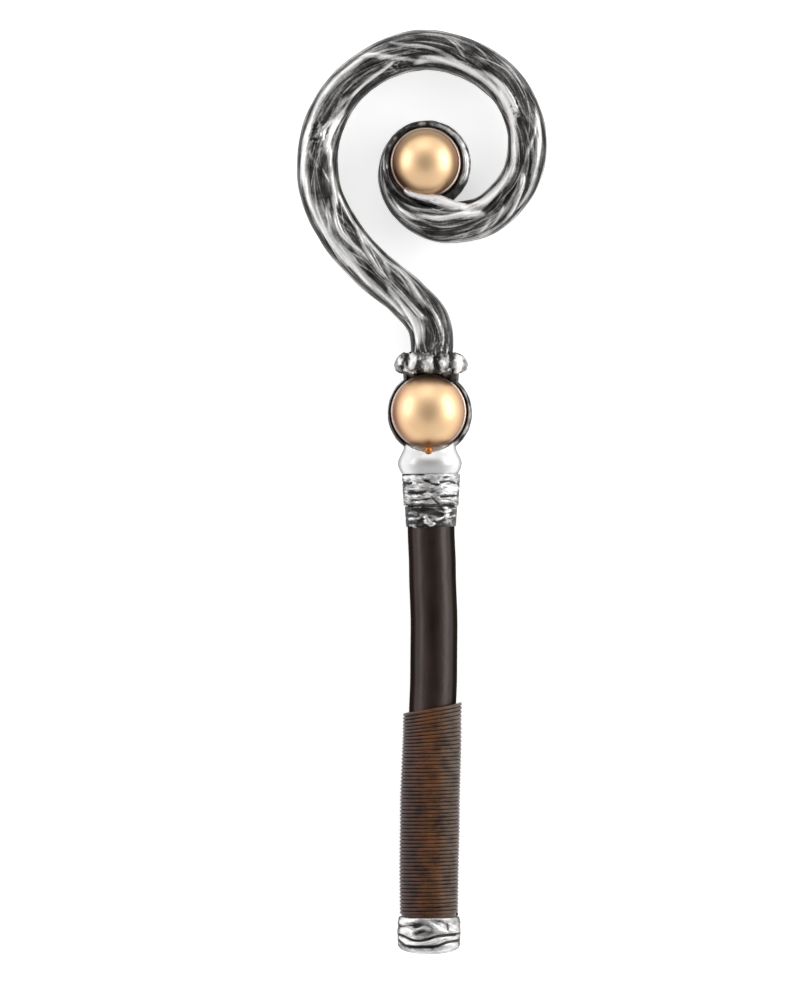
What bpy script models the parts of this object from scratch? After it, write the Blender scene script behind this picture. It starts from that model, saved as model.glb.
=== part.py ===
"""Egyptian crook sceptre, a costume staff in moulded and painted plastic.

The staff lies on its back. +Y runs from the butt to the crook, +X is the side of the
loop's far turn, and +Z is the front, where the two golden orbs sit. The origin is on
the floor, under the middle of the whole staff. All sizes are in metres.
"""

import math

import bpy
from mathutils import Vector

# Clearances
FIT_GAP = 0.0003            # between two pieces that touch or fit into each other
REST_FLAT_DEPTH = 0.0004    # how much the round butt cap is flattened where it lies
TOOL_OVERSHOOT = 0.0100     # how far a cutting tool runs past what it cuts

# Shaft, the dark tube that everything is mounted on
SHAFT_RADIUS = 0.0135
BARE_SHAFT_LENGTH = 0.1036  # from the cord binding up to the ferrule
SOCKET_DEPTH = 0.0200       # how far the shaft goes up into the ferrule
SHAFT_SIDES = 20
SHAFT_RINGS = 8
BORE_RADIUS = SHAFT_RADIUS + FIT_GAP

# The shaft below the ferrule is a little bowed: side offset in metres at shares of its length
BOW_SHARES = (0.0, 0.17, 0.33, 0.53, 0.66, 0.77, 0.90, 1.0)
BOW_OFFSETS = (-0.0012, -0.0012, -0.0007, 0.0006, 0.0015, 0.0017, 0.0008, 0.0)

# Butt cap, a cup over the shaft's end
CAP_LENGTH = 0.0213
CAP_WALL = 0.0043
CAP_MOUTH_WALL = 0.0036
CAP_END_THICKNESS = 0.0070
CAP_END_ROUNDING = 0.0055   # length over which the end closes
CAP_FOLD_DEPTH = 0.0008
CAP_FOLD_SAG = 0.0016       # how far the folds hang down across the front
CAP_FOLD_TURN = 0.3         # where round the cap they hang lowest, in radians from the front
CAP_CREASE_SHARES = (0.10, 0.41, 0.715)     # of the way from the end's rounding to the mouth
CAP_CREASE_WIDTH = 0.0016
CAP_SIDES = 20
CAP_END_ROWS = 4
CAP_RADIUS = BORE_RADIUS + CAP_WALL
CAP_MOUTH_RADIUS = BORE_RADIUS + CAP_MOUTH_WALL

# Cord binding of the grip, a sleeve round the shaft
BINDING_LENGTH = 0.1204
BINDING_THICKNESS = 0.0030
CORD_DIAMETER = 0.00207
CORD_GROOVE_SHARE = 0.22    # depth between two turns, as a share of the cord's diameter
BINDING_SWELL = 0.0005      # how much fuller the grip is at its middle
BINDING_TILT = 0.0026       # the topmost turns climb by this much to one side
BINDING_TILT_SHARE = 0.25   # share of the grip that tilts
BINDING_SIDES = 12
BINDING_RADIUS = BORE_RADIUS + BINDING_THICKNESS

# Ferrule, two tiers of crumpled sheet over the head's socket
LOWER_TIER_LENGTH = 0.0115
LOWER_TIER_WALL = 0.0010
UPPER_TIER_LENGTH = 0.0188
UPPER_TIER_FOOT_WALL = 0.0019
UPPER_TIER_TOP_WALL = 0.0032
WRINKLE_DEPTH = 0.0006
WRINKLE_PITCH = 0.0037
WRINKLE_WANDER = 0.0009     # how far a crease strays along the staff
WRINKLE_FLUTTER = 0.0004    # and its quicker small strays
STACK_SIDES = 20

# Pale ring under the neck boss
RING_LENGTH = 0.0157
RING_WALL = 0.0046
RING_FOOT_WALL = 0.0024
RING_BULGE_SHARE = 0.38     # height of its widest place, as a share of its length
RING_ROWS = 7
WAIST_WALL = 0.0012         # where the ring runs into the neck boss
RING_RADIUS = BORE_RADIUS + RING_WALL
RING_FOOT_RADIUS = BORE_RADIUS + RING_FOOT_WALL
WAIST_RADIUS = BORE_RADIUS + WAIST_WALL

# Orbs, golden domes with a thin brim that drops into a seat
ORB_BRIM_WIDTH = 0.0010
ORB_BRIM_THICKNESS = 0.0012
ORB_SEAT_DEPTH = 0.0012
ORB_SIDES = 24
ORB_ROWS = 6

# Neck boss, the cup that the lower orb sits in
NECK_ORB_RADIUS = 0.0212
NECK_ORB_HEIGHT = 0.0190
NECK_ORB_SHIFT = -0.0008    # to the side, from the boss's middle
NECK_ORB_RAISE = 0.0008     # along the staff, from the boss's middle
NECK_CUP_WALL = 0.0031
NECK_SEAT_RISE = 0.0050     # of the orb's seat, above the staff's middle plane
NECK_REST_DEPTH = 0.0017    # how much its back is flattened where it lies
BOSS_SIDES = 24
BOSS_ROWS = 6
NECK_BOSS_RADIUS = NECK_ORB_RADIUS + NECK_CUP_WALL

# Drop bead at the foot of the lower orb
BEAD_RADIUS = 0.0026
BEAD_LENGTH = 0.0096
BEAD_LAP_SHARE = 0.45       # share of its length that lies over the orb
BEAD_GRIP_SHARE = 0.30      # how far up the orb it is fused, as a share of its length
BEAD_PROUD = 0.0009         # height of its middle over the orb there
BEAD_SIDES = 10
BEAD_ROWS = 6

# Beaded collar
UPPER_WAIST_WALL = 0.0026
UPPER_WAIST_LENGTH = 0.0043
COLLAR_LENGTH = 0.0134
COLLAR_PROUD = 0.0052       # how far the beads stand out of the waist below them
COLLAR_BEADS = 12
COLLAR_GROOVE_DEPTH = 0.0020
COLLAR_TURN = math.radians(8.0)             # where its first groove is, from the front
COLLAR_DEPTH_SHARE = 0.85   # the collar is flatter from front to back than it is wide
COLLAR_STEEPEST = math.radians(82.0)        # slope of the beads where they start and end
COLLAR_FOOT_SHARE = 0.9     # the collar starts inside the crook's foot
COLLAR_SAMPLES = 3          # points across each bead
COLLAR_ROWS = 5
THROAT_LENGTH = 0.0018      # from the collar up to the crook's foot
UPPER_WAIST_RADIUS = BORE_RADIUS + UPPER_WAIST_WALL
COLLAR_RADIUS = UPPER_WAIST_RADIUS + COLLAR_PROUD

# Crook. Its free line is kept as shares of its height, from its foot on the staff's axis:
# to the side, along the staff, and the tube's radius
CROOK_HEIGHT = 0.1826
CROOK_STATIONS = (
    (0.004, -0.046, 0.0700),
    (-0.006, 0.072, 0.0730),
    (-0.073, 0.156, 0.0705),
    (-0.189, 0.252, 0.0700),
    (-0.288, 0.368, 0.0720),
    (-0.350, 0.506, 0.0700),
    (-0.349, 0.658, 0.0670),
    (-0.287, 0.797, 0.0655),
    (-0.172, 0.894, 0.0645),
    (-0.026, 0.939, 0.0650),
    (0.122, 0.909, 0.0650),
    (0.243, 0.818, 0.0650),
    (0.301, 0.677, 0.0645),
    (0.279, 0.530, 0.0650),
    (0.176, 0.420, 0.0680),
)
CROOK_RINGS = 55
FINE_STEPS = 16             # steps between two stations while the line is measured
GRAIN_RIDGES = 11
GRAIN_DEPTH_SHARE = 0.075   # of the tube's radius
GRAIN_WANDER = 17.0         # how often the grooves fade in and out along the crook
GRAIN_TURNS = -0.45         # how far the grain winds round the tube, foot to tip

# Curl boss, the cup at the end of the crook, and the tail that runs round it
CURL_ORB_RADIUS = 0.0194
CURL_ORB_HEIGHT = 0.0178
CURL_ORB_SHIFT = -0.0006
CURL_ORB_RAISE = 0.0009
CURL_CUP_WALL = 0.0061
CURL_SEAT_RISE = 0.0040
CURL_REST_DEPTH = 0.0019
CURL_BOSS_SIDE_SHARE = -0.014   # its middle, as shares of the crook's height
CURL_BOSS_RISE_SHARE = 0.578
TAIL_START_TURN = math.radians(-70.0)       # about the boss, where the tail leaves the free line
TAIL_END_TURN = math.radians(-240.0)
TAIL_REACH_SHARE = 0.123    # how far it stands off the boss where it starts, of the crook's height
TAIL_CLOSING = 2.2          # how early it closes on the boss
TAIL_TIP_RADIUS = 0.0034
TAIL_STEPS = 7
CURL_BOSS_RADIUS = CURL_ORB_RADIUS + CURL_CUP_WALL

# Places, from the butt's end along the staff and from the floor up
AXIS_HEIGHT = CAP_RADIUS - REST_FLAT_DEPTH
BINDING_START = CAP_LENGTH + FIT_GAP
HEAD_START = BINDING_START + BINDING_LENGTH + BARE_SHAFT_LENGTH
TIER_JOINT = HEAD_START + LOWER_TIER_LENGTH
RING_START = TIER_JOINT + UPPER_TIER_LENGTH
WAIST_PLACE = RING_START + RING_LENGTH
NECK_BOSS_PLACE = WAIST_PLACE + math.sqrt(NECK_BOSS_RADIUS ** 2 - WAIST_RADIUS ** 2)
UPPER_WAIST_PLACE = NECK_BOSS_PLACE + math.sqrt(NECK_BOSS_RADIUS ** 2 - UPPER_WAIST_RADIUS ** 2)
COLLAR_START = UPPER_WAIST_PLACE + UPPER_WAIST_LENGTH
CROOK_FOOT = COLLAR_START + COLLAR_LENGTH + THROAT_LENGTH
CURL_BOSS_SIDE = CURL_BOSS_SIDE_SHARE * CROOK_HEIGHT
CURL_BOSS_PLACE = CROOK_FOOT + CURL_BOSS_RISE_SHARE * CROOK_HEIGHT
NECK_BOSS_HALF_DEPTH = AXIS_HEIGHT + NECK_REST_DEPTH
CURL_BOSS_HALF_DEPTH = AXIS_HEIGHT + CURL_REST_DEPTH

# Colours, as red, green and blue, then metallic and roughness
SILVER = ((0.42, 0.42, 0.43), 0.75, 0.38)
GOLD = ((0.72, 0.48, 0.22), 0.85, 0.33)
DARK_BROWN = ((0.030, 0.020, 0.018), 0.0, 0.35)
CORD_BROWN = ((0.100, 0.045, 0.022), 0.0, 0.30)


def clear_scene():
    for item in list(bpy.data.objects):
        bpy.data.objects.remove(item, do_unlink=True)


def paint(name, finish):
    """A plain material from a colour, a metallic value and a roughness."""
    colour, metallic, roughness = finish
    material = bpy.data.materials.new(name)
    material.use_nodes = True
    shader = material.node_tree.nodes["Principled BSDF"]
    shader.inputs["Base Color"].default_value = (*colour, 1.0)
    shader.inputs["Metallic"].default_value = metallic
    shader.inputs["Roughness"].default_value = roughness
    return material


def ease(t):
    """From 0 to 1 with a soft start and end."""
    t = min(max(t, 0.0), 1.0)
    return t * t * (3.0 - 2.0 * t)


def mix(low, high, share):
    """The value at a share of the way from low to high."""
    return low + (high - low) * share


def spline(points, step):
    """A point on the smooth curve through the points; step counts them from 0."""
    start = min(int(step), len(points) - 2)
    t = step - start
    before = points[max(start - 1, 0)]
    here, ahead = points[start], points[start + 1]
    beyond = points[min(start + 2, len(points) - 1)]
    return 0.5 * (2.0 * here + (ahead - before) * t
                  + (2.0 * before - 5.0 * here + 4.0 * ahead - beyond) * t ** 2
                  + (3.0 * here - before - 3.0 * ahead + beyond) * t ** 3)


def axis_side(place):
    """How far the shaft's bowed axis stands to the side, at a place along the staff."""
    share = min(max(place / HEAD_START, 0.0), 1.0)
    index = max(number for number, low in enumerate(BOW_SHARES[:-1]) if low <= share)
    low, high = BOW_SHARES[index], BOW_SHARES[index + 1]
    return mix(BOW_OFFSETS[index], BOW_OFFSETS[index + 1], ease((share - low) / (high - low)))


def skin(name, rings, material):
    """A closed body through rings of points; a ring of one point closes to a tip."""
    points, faces, starts = [], [], []
    for ring in rings:
        starts.append(len(points))
        points.extend(ring)
    for index in range(len(rings) - 1):
        low, high = rings[index], rings[index + 1]
        sides = max(len(low), len(high))
        for side in range(sides):
            following = (side + 1) % sides
            corners = [starts[index] + side % len(low),
                       starts[index] + following % len(low),
                       starts[index + 1] + following % len(high),
                       starts[index + 1] + side % len(high)]
            faces.append(list(dict.fromkeys(corners)))
    if len(rings[0]) > 1:
        faces.append(list(reversed(range(len(rings[0])))))
    if len(rings[-1]) > 1:
        faces.append([starts[-1] + side for side in range(len(rings[-1]))])
    mesh = bpy.data.meshes.new(name)
    mesh.from_pydata(points, [], faces)
    mesh.shade_smooth()
    mesh.set_sharp_from_angle(angle=math.radians(40.0))
    mesh.materials.append(material)
    body = bpy.data.objects.new(name, mesh)
    bpy.context.scene.collection.objects.link(body)
    return body


def ring_along(place, radius, sides, side_shift=0.0, depth_share=1.0, turn=0.0, slide=None):
    """A ring round the staff's axis; radius and slide may be functions of the angle."""
    ring = []
    for index in range(sides):
        angle = turn + math.tau * index / sides
        reach = radius(angle) if callable(radius) else radius
        along = place + (slide(angle) if slide else 0.0)
        ring.append(Vector((side_shift + reach * math.sin(angle), along,
                            reach * depth_share * math.cos(angle))))
    return ring


def ring_level(height, radius, sides):
    """A level ring about a vertical axis."""
    return [Vector((radius * math.cos(math.tau * index / sides),
                    radius * math.sin(math.tau * index / sides), height))
            for index in range(sides)]


def combine(body, tool, operation):
    """Cuts the tool out of the body, or joins it on."""
    tool.hide_render = True
    tool.display_type = "WIRE"
    modifier = body.modifiers.new(tool.name, "BOOLEAN")
    modifier.operation = operation
    modifier.solver = "EXACT"
    modifier.object = tool


def rod_tool(name, radius, start, end, side_shift, material):
    """A straight round tool along the staff, to bore a socket."""
    rings = [ring_along(place, radius, SHAFT_SIDES, side_shift) for place in (start, end)]
    tool = skin(name, rings, material)
    tool.location.z = AXIS_HEIGHT
    return tool


def floor_tool(name, start, end, half_width, material):
    """A block under the floor that flattens what would reach below it."""
    corners = ((-half_width, start), (half_width, start), (half_width, end), (-half_width, end))
    rings = [[Vector((x, y, height)) for x, y in corners] for height in (-AXIS_HEIGHT, 0.0)]
    return skin(name, rings, material)


def crook_line():
    """The crook's middle line from its foot, as vectors (side, along, tube radius)."""
    points = [Vector(station) * CROOK_HEIGHT for station in CROOK_STATIONS]
    last_radius = points[-1].z
    for step in range(TAIL_STEPS + 1):
        share = step / TAIL_STEPS
        turn = mix(TAIL_START_TURN, TAIL_END_TURN, share)
        radius = mix(last_radius, TAIL_TIP_RADIUS, ease(share))
        outer_edge = CURL_BOSS_RADIUS + TAIL_REACH_SHARE * CROOK_HEIGHT * (1.0 - share) ** TAIL_CLOSING
        distance = outer_edge - radius
        points.append(Vector((CURL_BOSS_SIDE + distance * math.cos(turn),
                              CURL_BOSS_PLACE - CROOK_FOOT + distance * math.sin(turn), radius)))
    return points


def spaced_line(points, count):
    """The smooth curve through the points, at evenly spaced places."""
    steps = FINE_STEPS * (len(points) - 1)
    fine = [spline(points, index / FINE_STEPS) for index in range(steps + 1)]
    travelled = [0.0]
    for before, after in zip(fine, fine[1:]):
        travelled.append(travelled[-1] + (after - before).xy.length)
    spaced, index = [], 0
    for number in range(count):
        target = travelled[-1] * number / (count - 1)
        while index < len(fine) - 2 and travelled[index + 1] < target:
            index += 1
        share = (target - travelled[index]) / (travelled[index + 1] - travelled[index])
        spaced.append(fine[index].lerp(fine[index + 1], share))
    return spaced


def grained_ring(point, heading, share):
    """A ring across the crook's tube, with a groove between every two grain ridges."""
    across = Vector((heading.y, -heading.x, 0.0))
    upward = Vector((0.0, 0.0, 1.0))
    middle = Vector((point.x, CROOK_FOOT + point.y, 0.0))
    ring = []
    for index in range(2 * GRAIN_RIDGES):
        angle = math.tau * GRAIN_TURNS * share + math.pi * index / GRAIN_RIDGES
        reach = point.z
        if index % 2:
            fading = 0.6 + 0.4 * math.sin(2.4 * index + GRAIN_WANDER * share)
            reach *= 1.0 - GRAIN_DEPTH_SHARE * fading
        ring.append(middle + across * reach * math.sin(angle) + upward * reach * math.cos(angle))
    return ring


def crook_tube(material):
    """The S-shaped neck, the loop and its tail, with long grain ridges that wind slowly."""
    line = spaced_line(crook_line(), CROOK_RINGS)
    rings = []
    for number, point in enumerate(line):
        before, after = line[max(number - 1, 0)], line[min(number + 1, CROOK_RINGS - 1)]
        heading = (after - before).xy.normalized()
        rings.append(grained_ring(point, heading, number / (CROOK_RINGS - 1)))
    tube = skin("crook_head", rings, material)
    tube.location.z = AXIS_HEIGHT
    return tube


def boss_tool(name, radius, half_depth, seat_rise, side, place, material):
    """A round cup: a flattened ball cut level in front, where the orb's seat is."""
    top = math.asin(seat_rise / half_depth)
    rings = [[Vector((0.0, 0.0, -half_depth))]]
    for row in range(1, BOSS_ROWS + 1):
        angle = mix(-math.pi / 2, top, row / BOSS_ROWS)
        rings.append(ring_level(half_depth * math.sin(angle), radius * math.cos(angle),
                                BOSS_SIDES))
    boss = skin(name, rings, material)
    boss.location = (side, place, AXIS_HEIGHT)
    return boss


def seat_tool(name, orb_radius, seat_rise, side, place, material):
    """Opens a seat for an orb, and clears everything in front of it."""
    radius = orb_radius + ORB_BRIM_WIDTH + FIT_GAP
    foot, top = seat_rise - ORB_SEAT_DEPTH, COLLAR_RADIUS + TOOL_OVERSHOOT
    rings = [ring_level(height, radius, ORB_SIDES) for height in (foot, top)]
    seat = skin(name, rings, material)
    seat.location = (side, place, AXIS_HEIGHT)
    return seat


def crumpled_tier(start, length, foot_wall, top_wall):
    """One tier of the ferrule, as rings with wandering creases between its folds."""
    folds = max(1, round(length / WRINKLE_PITCH))
    rings = []
    for row in range(2 * folds + 1):
        share = row / (2 * folds)
        radius = BORE_RADIUS + mix(foot_wall, top_wall, share)
        if row % 2 or row in (0, 2 * folds):
            rings.append(ring_along(start + length * share, radius, STACK_SIDES))
            continue
        phase = 1.7 * row + length / WRINKLE_PITCH

        def stray(angle, phase=phase):
            return (WRINKLE_WANDER * math.sin(2.0 * angle + phase)
                    + WRINKLE_FLUTTER * math.sin(5.0 * angle + phase))

        rings.append(ring_along(start + length * share, radius - WRINKLE_DEPTH, STACK_SIDES,
                                slide=stray))
    return rings


def turned_stack(material):
    """The two-tier ferrule, the pale ring and the core up into the collar."""
    rings = crumpled_tier(HEAD_START, LOWER_TIER_LENGTH, LOWER_TIER_WALL, LOWER_TIER_WALL)
    rings += crumpled_tier(TIER_JOINT + FIT_GAP, UPPER_TIER_LENGTH - FIT_GAP,
                           UPPER_TIER_FOOT_WALL, UPPER_TIER_TOP_WALL)
    for row in range(1, RING_ROWS + 1):
        share = row / RING_ROWS
        if share < RING_BULGE_SHARE:
            rise = math.sin(math.pi / 2 * share / RING_BULGE_SHARE)
            radius = mix(RING_FOOT_RADIUS, RING_RADIUS, rise)
        else:
            fall = ease((share - RING_BULGE_SHARE) / (1.0 - RING_BULGE_SHARE))
            radius = mix(RING_RADIUS, WAIST_RADIUS, fall)
        rings.append(ring_along(RING_START + RING_LENGTH * share, radius, STACK_SIDES))
    for place in (UPPER_WAIST_PLACE, COLLAR_START + COLLAR_LENGTH / 2):
        rings.append(ring_along(place, UPPER_WAIST_RADIUS, STACK_SIDES))
    stack = skin("turned_stack", rings, material)
    stack.location.z = AXIS_HEIGHT
    return stack


def beaded_collar(material):
    """A fat ring of beads side by side."""
    sides = COLLAR_BEADS * COLLAR_SAMPLES
    foot_radius = CROOK_STATIONS[0][2] * CROOK_HEIGHT * COLLAR_FOOT_SHARE
    rings = [ring_along(COLLAR_START, foot_radius, sides, depth_share=COLLAR_DEPTH_SHARE)]
    for row in range(COLLAR_ROWS + 1):
        lift = mix(-COLLAR_STEEPEST, COLLAR_STEEPEST, row / COLLAR_ROWS)
        share = 0.5 + 0.5 * math.sin(lift) / math.sin(COLLAR_STEEPEST)
        full = mix(foot_radius, COLLAR_RADIUS, math.cos(lift) ** 0.6)
        groove_depth = COLLAR_GROOVE_DEPTH * math.cos(lift)

        def beaded(angle, full=full, groove_depth=groove_depth):
            groove = math.cos(COLLAR_BEADS * (angle - COLLAR_TURN) / 2.0) ** 2
            return full - groove_depth * groove

        rings.append(ring_along(COLLAR_START + COLLAR_LENGTH * share, beaded, sides,
                                depth_share=COLLAR_DEPTH_SHARE, turn=COLLAR_TURN))
    rings.append(ring_along(COLLAR_START + COLLAR_LENGTH, foot_radius, sides,
                            depth_share=COLLAR_DEPTH_SHARE))
    collar = skin("beaded_collar", rings, material)
    collar.location.z = AXIS_HEIGHT
    return collar


def drop_bead(name, margin, material):
    """The little drop under the lower orb; margin makes the pocket for it larger."""
    radius, half = BEAD_RADIUS + margin, BEAD_LENGTH / 2 + margin
    rings = [[Vector((0.0, -half, 0.0))]]
    for row in range(1, BEAD_ROWS):
        angle = mix(-math.pi / 2, math.pi / 2, row / BEAD_ROWS)
        rings.append(ring_along(half * math.sin(angle), radius * math.cos(angle), BEAD_SIDES))
    rings.append([Vector((0.0, half, 0.0))])
    bead = skin(name, rings, material)
    grip_distance = NECK_ORB_RADIUS - BEAD_GRIP_SHARE * BEAD_LENGTH
    dome_rise = NECK_ORB_HEIGHT * math.sqrt(1.0 - (grip_distance / NECK_ORB_RADIUS) ** 2)
    bead.location = (NECK_ORB_SHIFT,
                     NECK_BOSS_PLACE + NECK_ORB_RAISE - NECK_ORB_RADIUS
                     + BEAD_LENGTH * (BEAD_LAP_SHARE - 0.5),
                     AXIS_HEIGHT + orb_foot(NECK_SEAT_RISE) + ORB_BRIM_THICKNESS + dome_rise
                     + BEAD_PROUD)
    return bead


def orb_foot(seat_rise):
    """Height of an orb's underside over the staff's middle plane."""
    return seat_rise - ORB_SEAT_DEPTH + FIT_GAP


def orb(name, radius, height, seat_rise, side, place, material):
    """A golden dome over a thin brim."""
    foot = orb_foot(seat_rise)
    dome_start = foot + ORB_BRIM_THICKNESS
    rings = [ring_level(level, radius + ORB_BRIM_WIDTH, ORB_SIDES) for level in (foot, dome_start)]
    for row in range(ORB_ROWS):
        angle = math.pi / 2 * row / ORB_ROWS
        rings.append(ring_level(dome_start + height * math.sin(angle),
                                radius * math.cos(angle), ORB_SIDES))
    rings.append([Vector((0.0, 0.0, dome_start + height))])
    dome = skin(name, rings, material)
    dome.location = (side, place, AXIS_HEIGHT)
    return dome


def crook_head():
    """The silvered moulding, from the ferrule to the tip of the curl."""
    silver = paint("antiqued_silver", SILVER)
    head = crook_tube(silver)
    combine(head, boss_tool("curl_boss", CURL_BOSS_RADIUS, CURL_BOSS_HALF_DEPTH,
                            CURL_SEAT_RISE, CURL_BOSS_SIDE, CURL_BOSS_PLACE, silver), "UNION")
    combine(head, beaded_collar(silver), "UNION")
    combine(head, turned_stack(silver), "UNION")
    combine(head, boss_tool("neck_boss", NECK_BOSS_RADIUS, NECK_BOSS_HALF_DEPTH,
                            NECK_SEAT_RISE, 0.0, NECK_BOSS_PLACE, silver), "UNION")
    combine(head, seat_tool("curl_seat", CURL_ORB_RADIUS, CURL_SEAT_RISE,
                            CURL_BOSS_SIDE + CURL_ORB_SHIFT, CURL_BOSS_PLACE + CURL_ORB_RAISE,
                            silver), "DIFFERENCE")
    combine(head, seat_tool("neck_seat", NECK_ORB_RADIUS, NECK_SEAT_RISE, NECK_ORB_SHIFT,
                            NECK_BOSS_PLACE + NECK_ORB_RAISE, silver), "DIFFERENCE")
    combine(head, drop_bead("bead_pocket", FIT_GAP, silver), "DIFFERENCE")
    combine(head, rod_tool("shaft_socket", BORE_RADIUS, HEAD_START - TOOL_OVERSHOOT,
                           HEAD_START + SOCKET_DEPTH, 0.0, silver), "DIFFERENCE")
    combine(head, floor_tool("head_rest", HEAD_START - TOOL_OVERSHOOT,
                             CROOK_FOOT + CROOK_HEIGHT + TOOL_OVERSHOOT, CROOK_HEIGHT, silver),
            "DIFFERENCE")
    return head


def curl_orb():
    return orb("curl_orb", CURL_ORB_RADIUS, CURL_ORB_HEIGHT, CURL_SEAT_RISE,
               CURL_BOSS_SIDE + CURL_ORB_SHIFT, CURL_BOSS_PLACE + CURL_ORB_RAISE,
               paint("satin_gold", GOLD))


def neck_orb():
    gold = paint("satin_gold_neck", GOLD)
    dome = orb("neck_orb", NECK_ORB_RADIUS, NECK_ORB_HEIGHT, NECK_SEAT_RISE,
               NECK_ORB_SHIFT, NECK_BOSS_PLACE + NECK_ORB_RAISE, gold)
    combine(dome, drop_bead("drop_bead", 0.0, gold), "UNION")
    return dome


def bowed_rod(name, radius, start, end, material):
    """A round rod along the staff's bowed axis."""
    rings = []
    for number in range(SHAFT_RINGS + 1):
        place = mix(start, end, number / SHAFT_RINGS)
        rings.append(ring_along(place, radius, SHAFT_SIDES, axis_side(place)))
    rod = skin(name, rings, material)
    rod.location.z = AXIS_HEIGHT
    return rod


def shaft():
    """The bowed tube, from the butt cap's bore up into the ferrule's socket."""
    return bowed_rod("shaft", SHAFT_RADIUS, CAP_END_THICKNESS + FIT_GAP,
                     HEAD_START + SOCKET_DEPTH - FIT_GAP, paint("dark_brown_lacquer", DARK_BROWN))


def grip_binding():
    """A sleeve with one rib for each turn of the cord, bored to clear the shaft."""
    cord = paint("cord_brown", CORD_BROWN)
    turns = round(BINDING_LENGTH / CORD_DIAMETER)
    rings = []
    for number in range(2 * turns + 1):
        share = number / (2 * turns)
        place = BINDING_START + BINDING_LENGTH * share
        radius = BINDING_RADIUS + BINDING_SWELL * math.sin(math.pi * share)
        if number % 2 == 0:
            radius -= CORD_DIAMETER * CORD_GROOVE_SHARE
        tilt = BINDING_TILT * ease((share - 1.0 + BINDING_TILT_SHARE) / BINDING_TILT_SHARE)
        rings.append(ring_along(place, radius, BINDING_SIDES, axis_side(place),
                                slide=lambda angle, tilt=tilt: tilt * math.sin(angle)))
    sleeve = skin("grip_binding", rings, cord)
    sleeve.location.z = AXIS_HEIGHT
    combine(sleeve, bowed_rod("binding_bore", BORE_RADIUS, CAP_END_THICKNESS + FIT_GAP,
                              HEAD_START + SOCKET_DEPTH - FIT_GAP, cord), "DIFFERENCE")
    return sleeve


def butt_cap():
    """The silvered end cap, with creases that sag across the front and a rounded end."""
    silver = paint("antiqued_silver_cap", SILVER)
    side = axis_side(0.0)
    rows = []
    for row in range(1, CAP_END_ROWS + 1):
        angle = math.pi / 2 * row / CAP_END_ROWS
        rows.append((CAP_END_ROUNDING * (1.0 - math.cos(angle)), CAP_RADIUS * math.sin(angle)))
    for crease_share in CAP_CREASE_SHARES:
        crease = mix(CAP_END_ROUNDING, CAP_LENGTH, crease_share)
        rows.append((crease - CAP_CREASE_WIDTH / 2, CAP_RADIUS))
        rows.append((crease, CAP_RADIUS - CAP_FOLD_DEPTH))
        rows.append((crease + CAP_CREASE_WIDTH / 2, CAP_RADIUS))
    rows.append((CAP_LENGTH, CAP_MOUTH_RADIUS))
    rings = [[Vector((side, 0.0, 0.0))]]
    for place, radius in rows:
        sag = CAP_FOLD_SAG * math.sin(math.pi * min(place / CAP_LENGTH, 1.0))
        rings.append(ring_along(place, radius, CAP_SIDES, side,
                                slide=lambda angle, sag=sag: -sag * math.cos(angle - CAP_FOLD_TURN)))
    cap = skin("butt_cap", rings, silver)
    cap.location.z = AXIS_HEIGHT
    combine(cap, rod_tool("cap_bore", BORE_RADIUS, CAP_END_THICKNESS,
                          CAP_LENGTH + TOOL_OVERSHOOT, side, silver), "DIFFERENCE")
    combine(cap, floor_tool("cap_rest", -TOOL_OVERSHOOT, CAP_LENGTH + TOOL_OVERSHOOT,
                            CAP_RADIUS + TOOL_OVERSHOOT, silver), "DIFFERENCE")
    return cap


def spread(bodies):
    """The lowest and highest corners of the finished bodies, in world space."""
    bpy.context.view_layer.update()
    depsgraph = bpy.context.evaluated_depsgraph_get()
    points = []
    for body in bodies:
        done = body.evaluated_get(depsgraph)
        points.extend(done.matrix_world @ vertex.co for vertex in done.to_mesh().vertices)
        done.to_mesh_clear()
    low = Vector([min(point[axis] for point in points) for axis in range(3)])
    high = Vector([max(point[axis] for point in points) for axis in range(3)])
    return low, high


def main():
    clear_scene()
    bodies = [crook_head(), curl_orb(), neck_orb(), shaft(), grip_binding(), butt_cap()]
    low, high = spread(bodies)
    middle = bpy.data.objects.new("sceptre", None)
    bpy.context.scene.collection.objects.link(middle)
    for item in bpy.data.objects:
        if item is not middle:
            item.parent = middle
    middle.location = (-(low.x + high.x) / 2, -(low.y + high.y) / 2, -low.z)
    bpy.context.view_layer.update()


main()
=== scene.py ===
# %% [markdown]
# # A crook sceptre, moulded in plastic and painted by hand
#
# The staff is a costume piece about half a metre long. A hollow moulding is sprayed black, and
# silver is then dragged over it with a nearly dry brush, so the ridges shine and the hollows
# stay dark. Two domes of satin gold sit in round cups, and the lower end is a dark tube with a
# grip of wound cord and a crumpled cap. The staff lies on a pale floor and is seen from above.
#
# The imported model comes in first. It gives the sizes and places that every piece keeps to.

# %% Load the frame
import math

import bpy
import numpy as np
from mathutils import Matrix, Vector, noise


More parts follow.
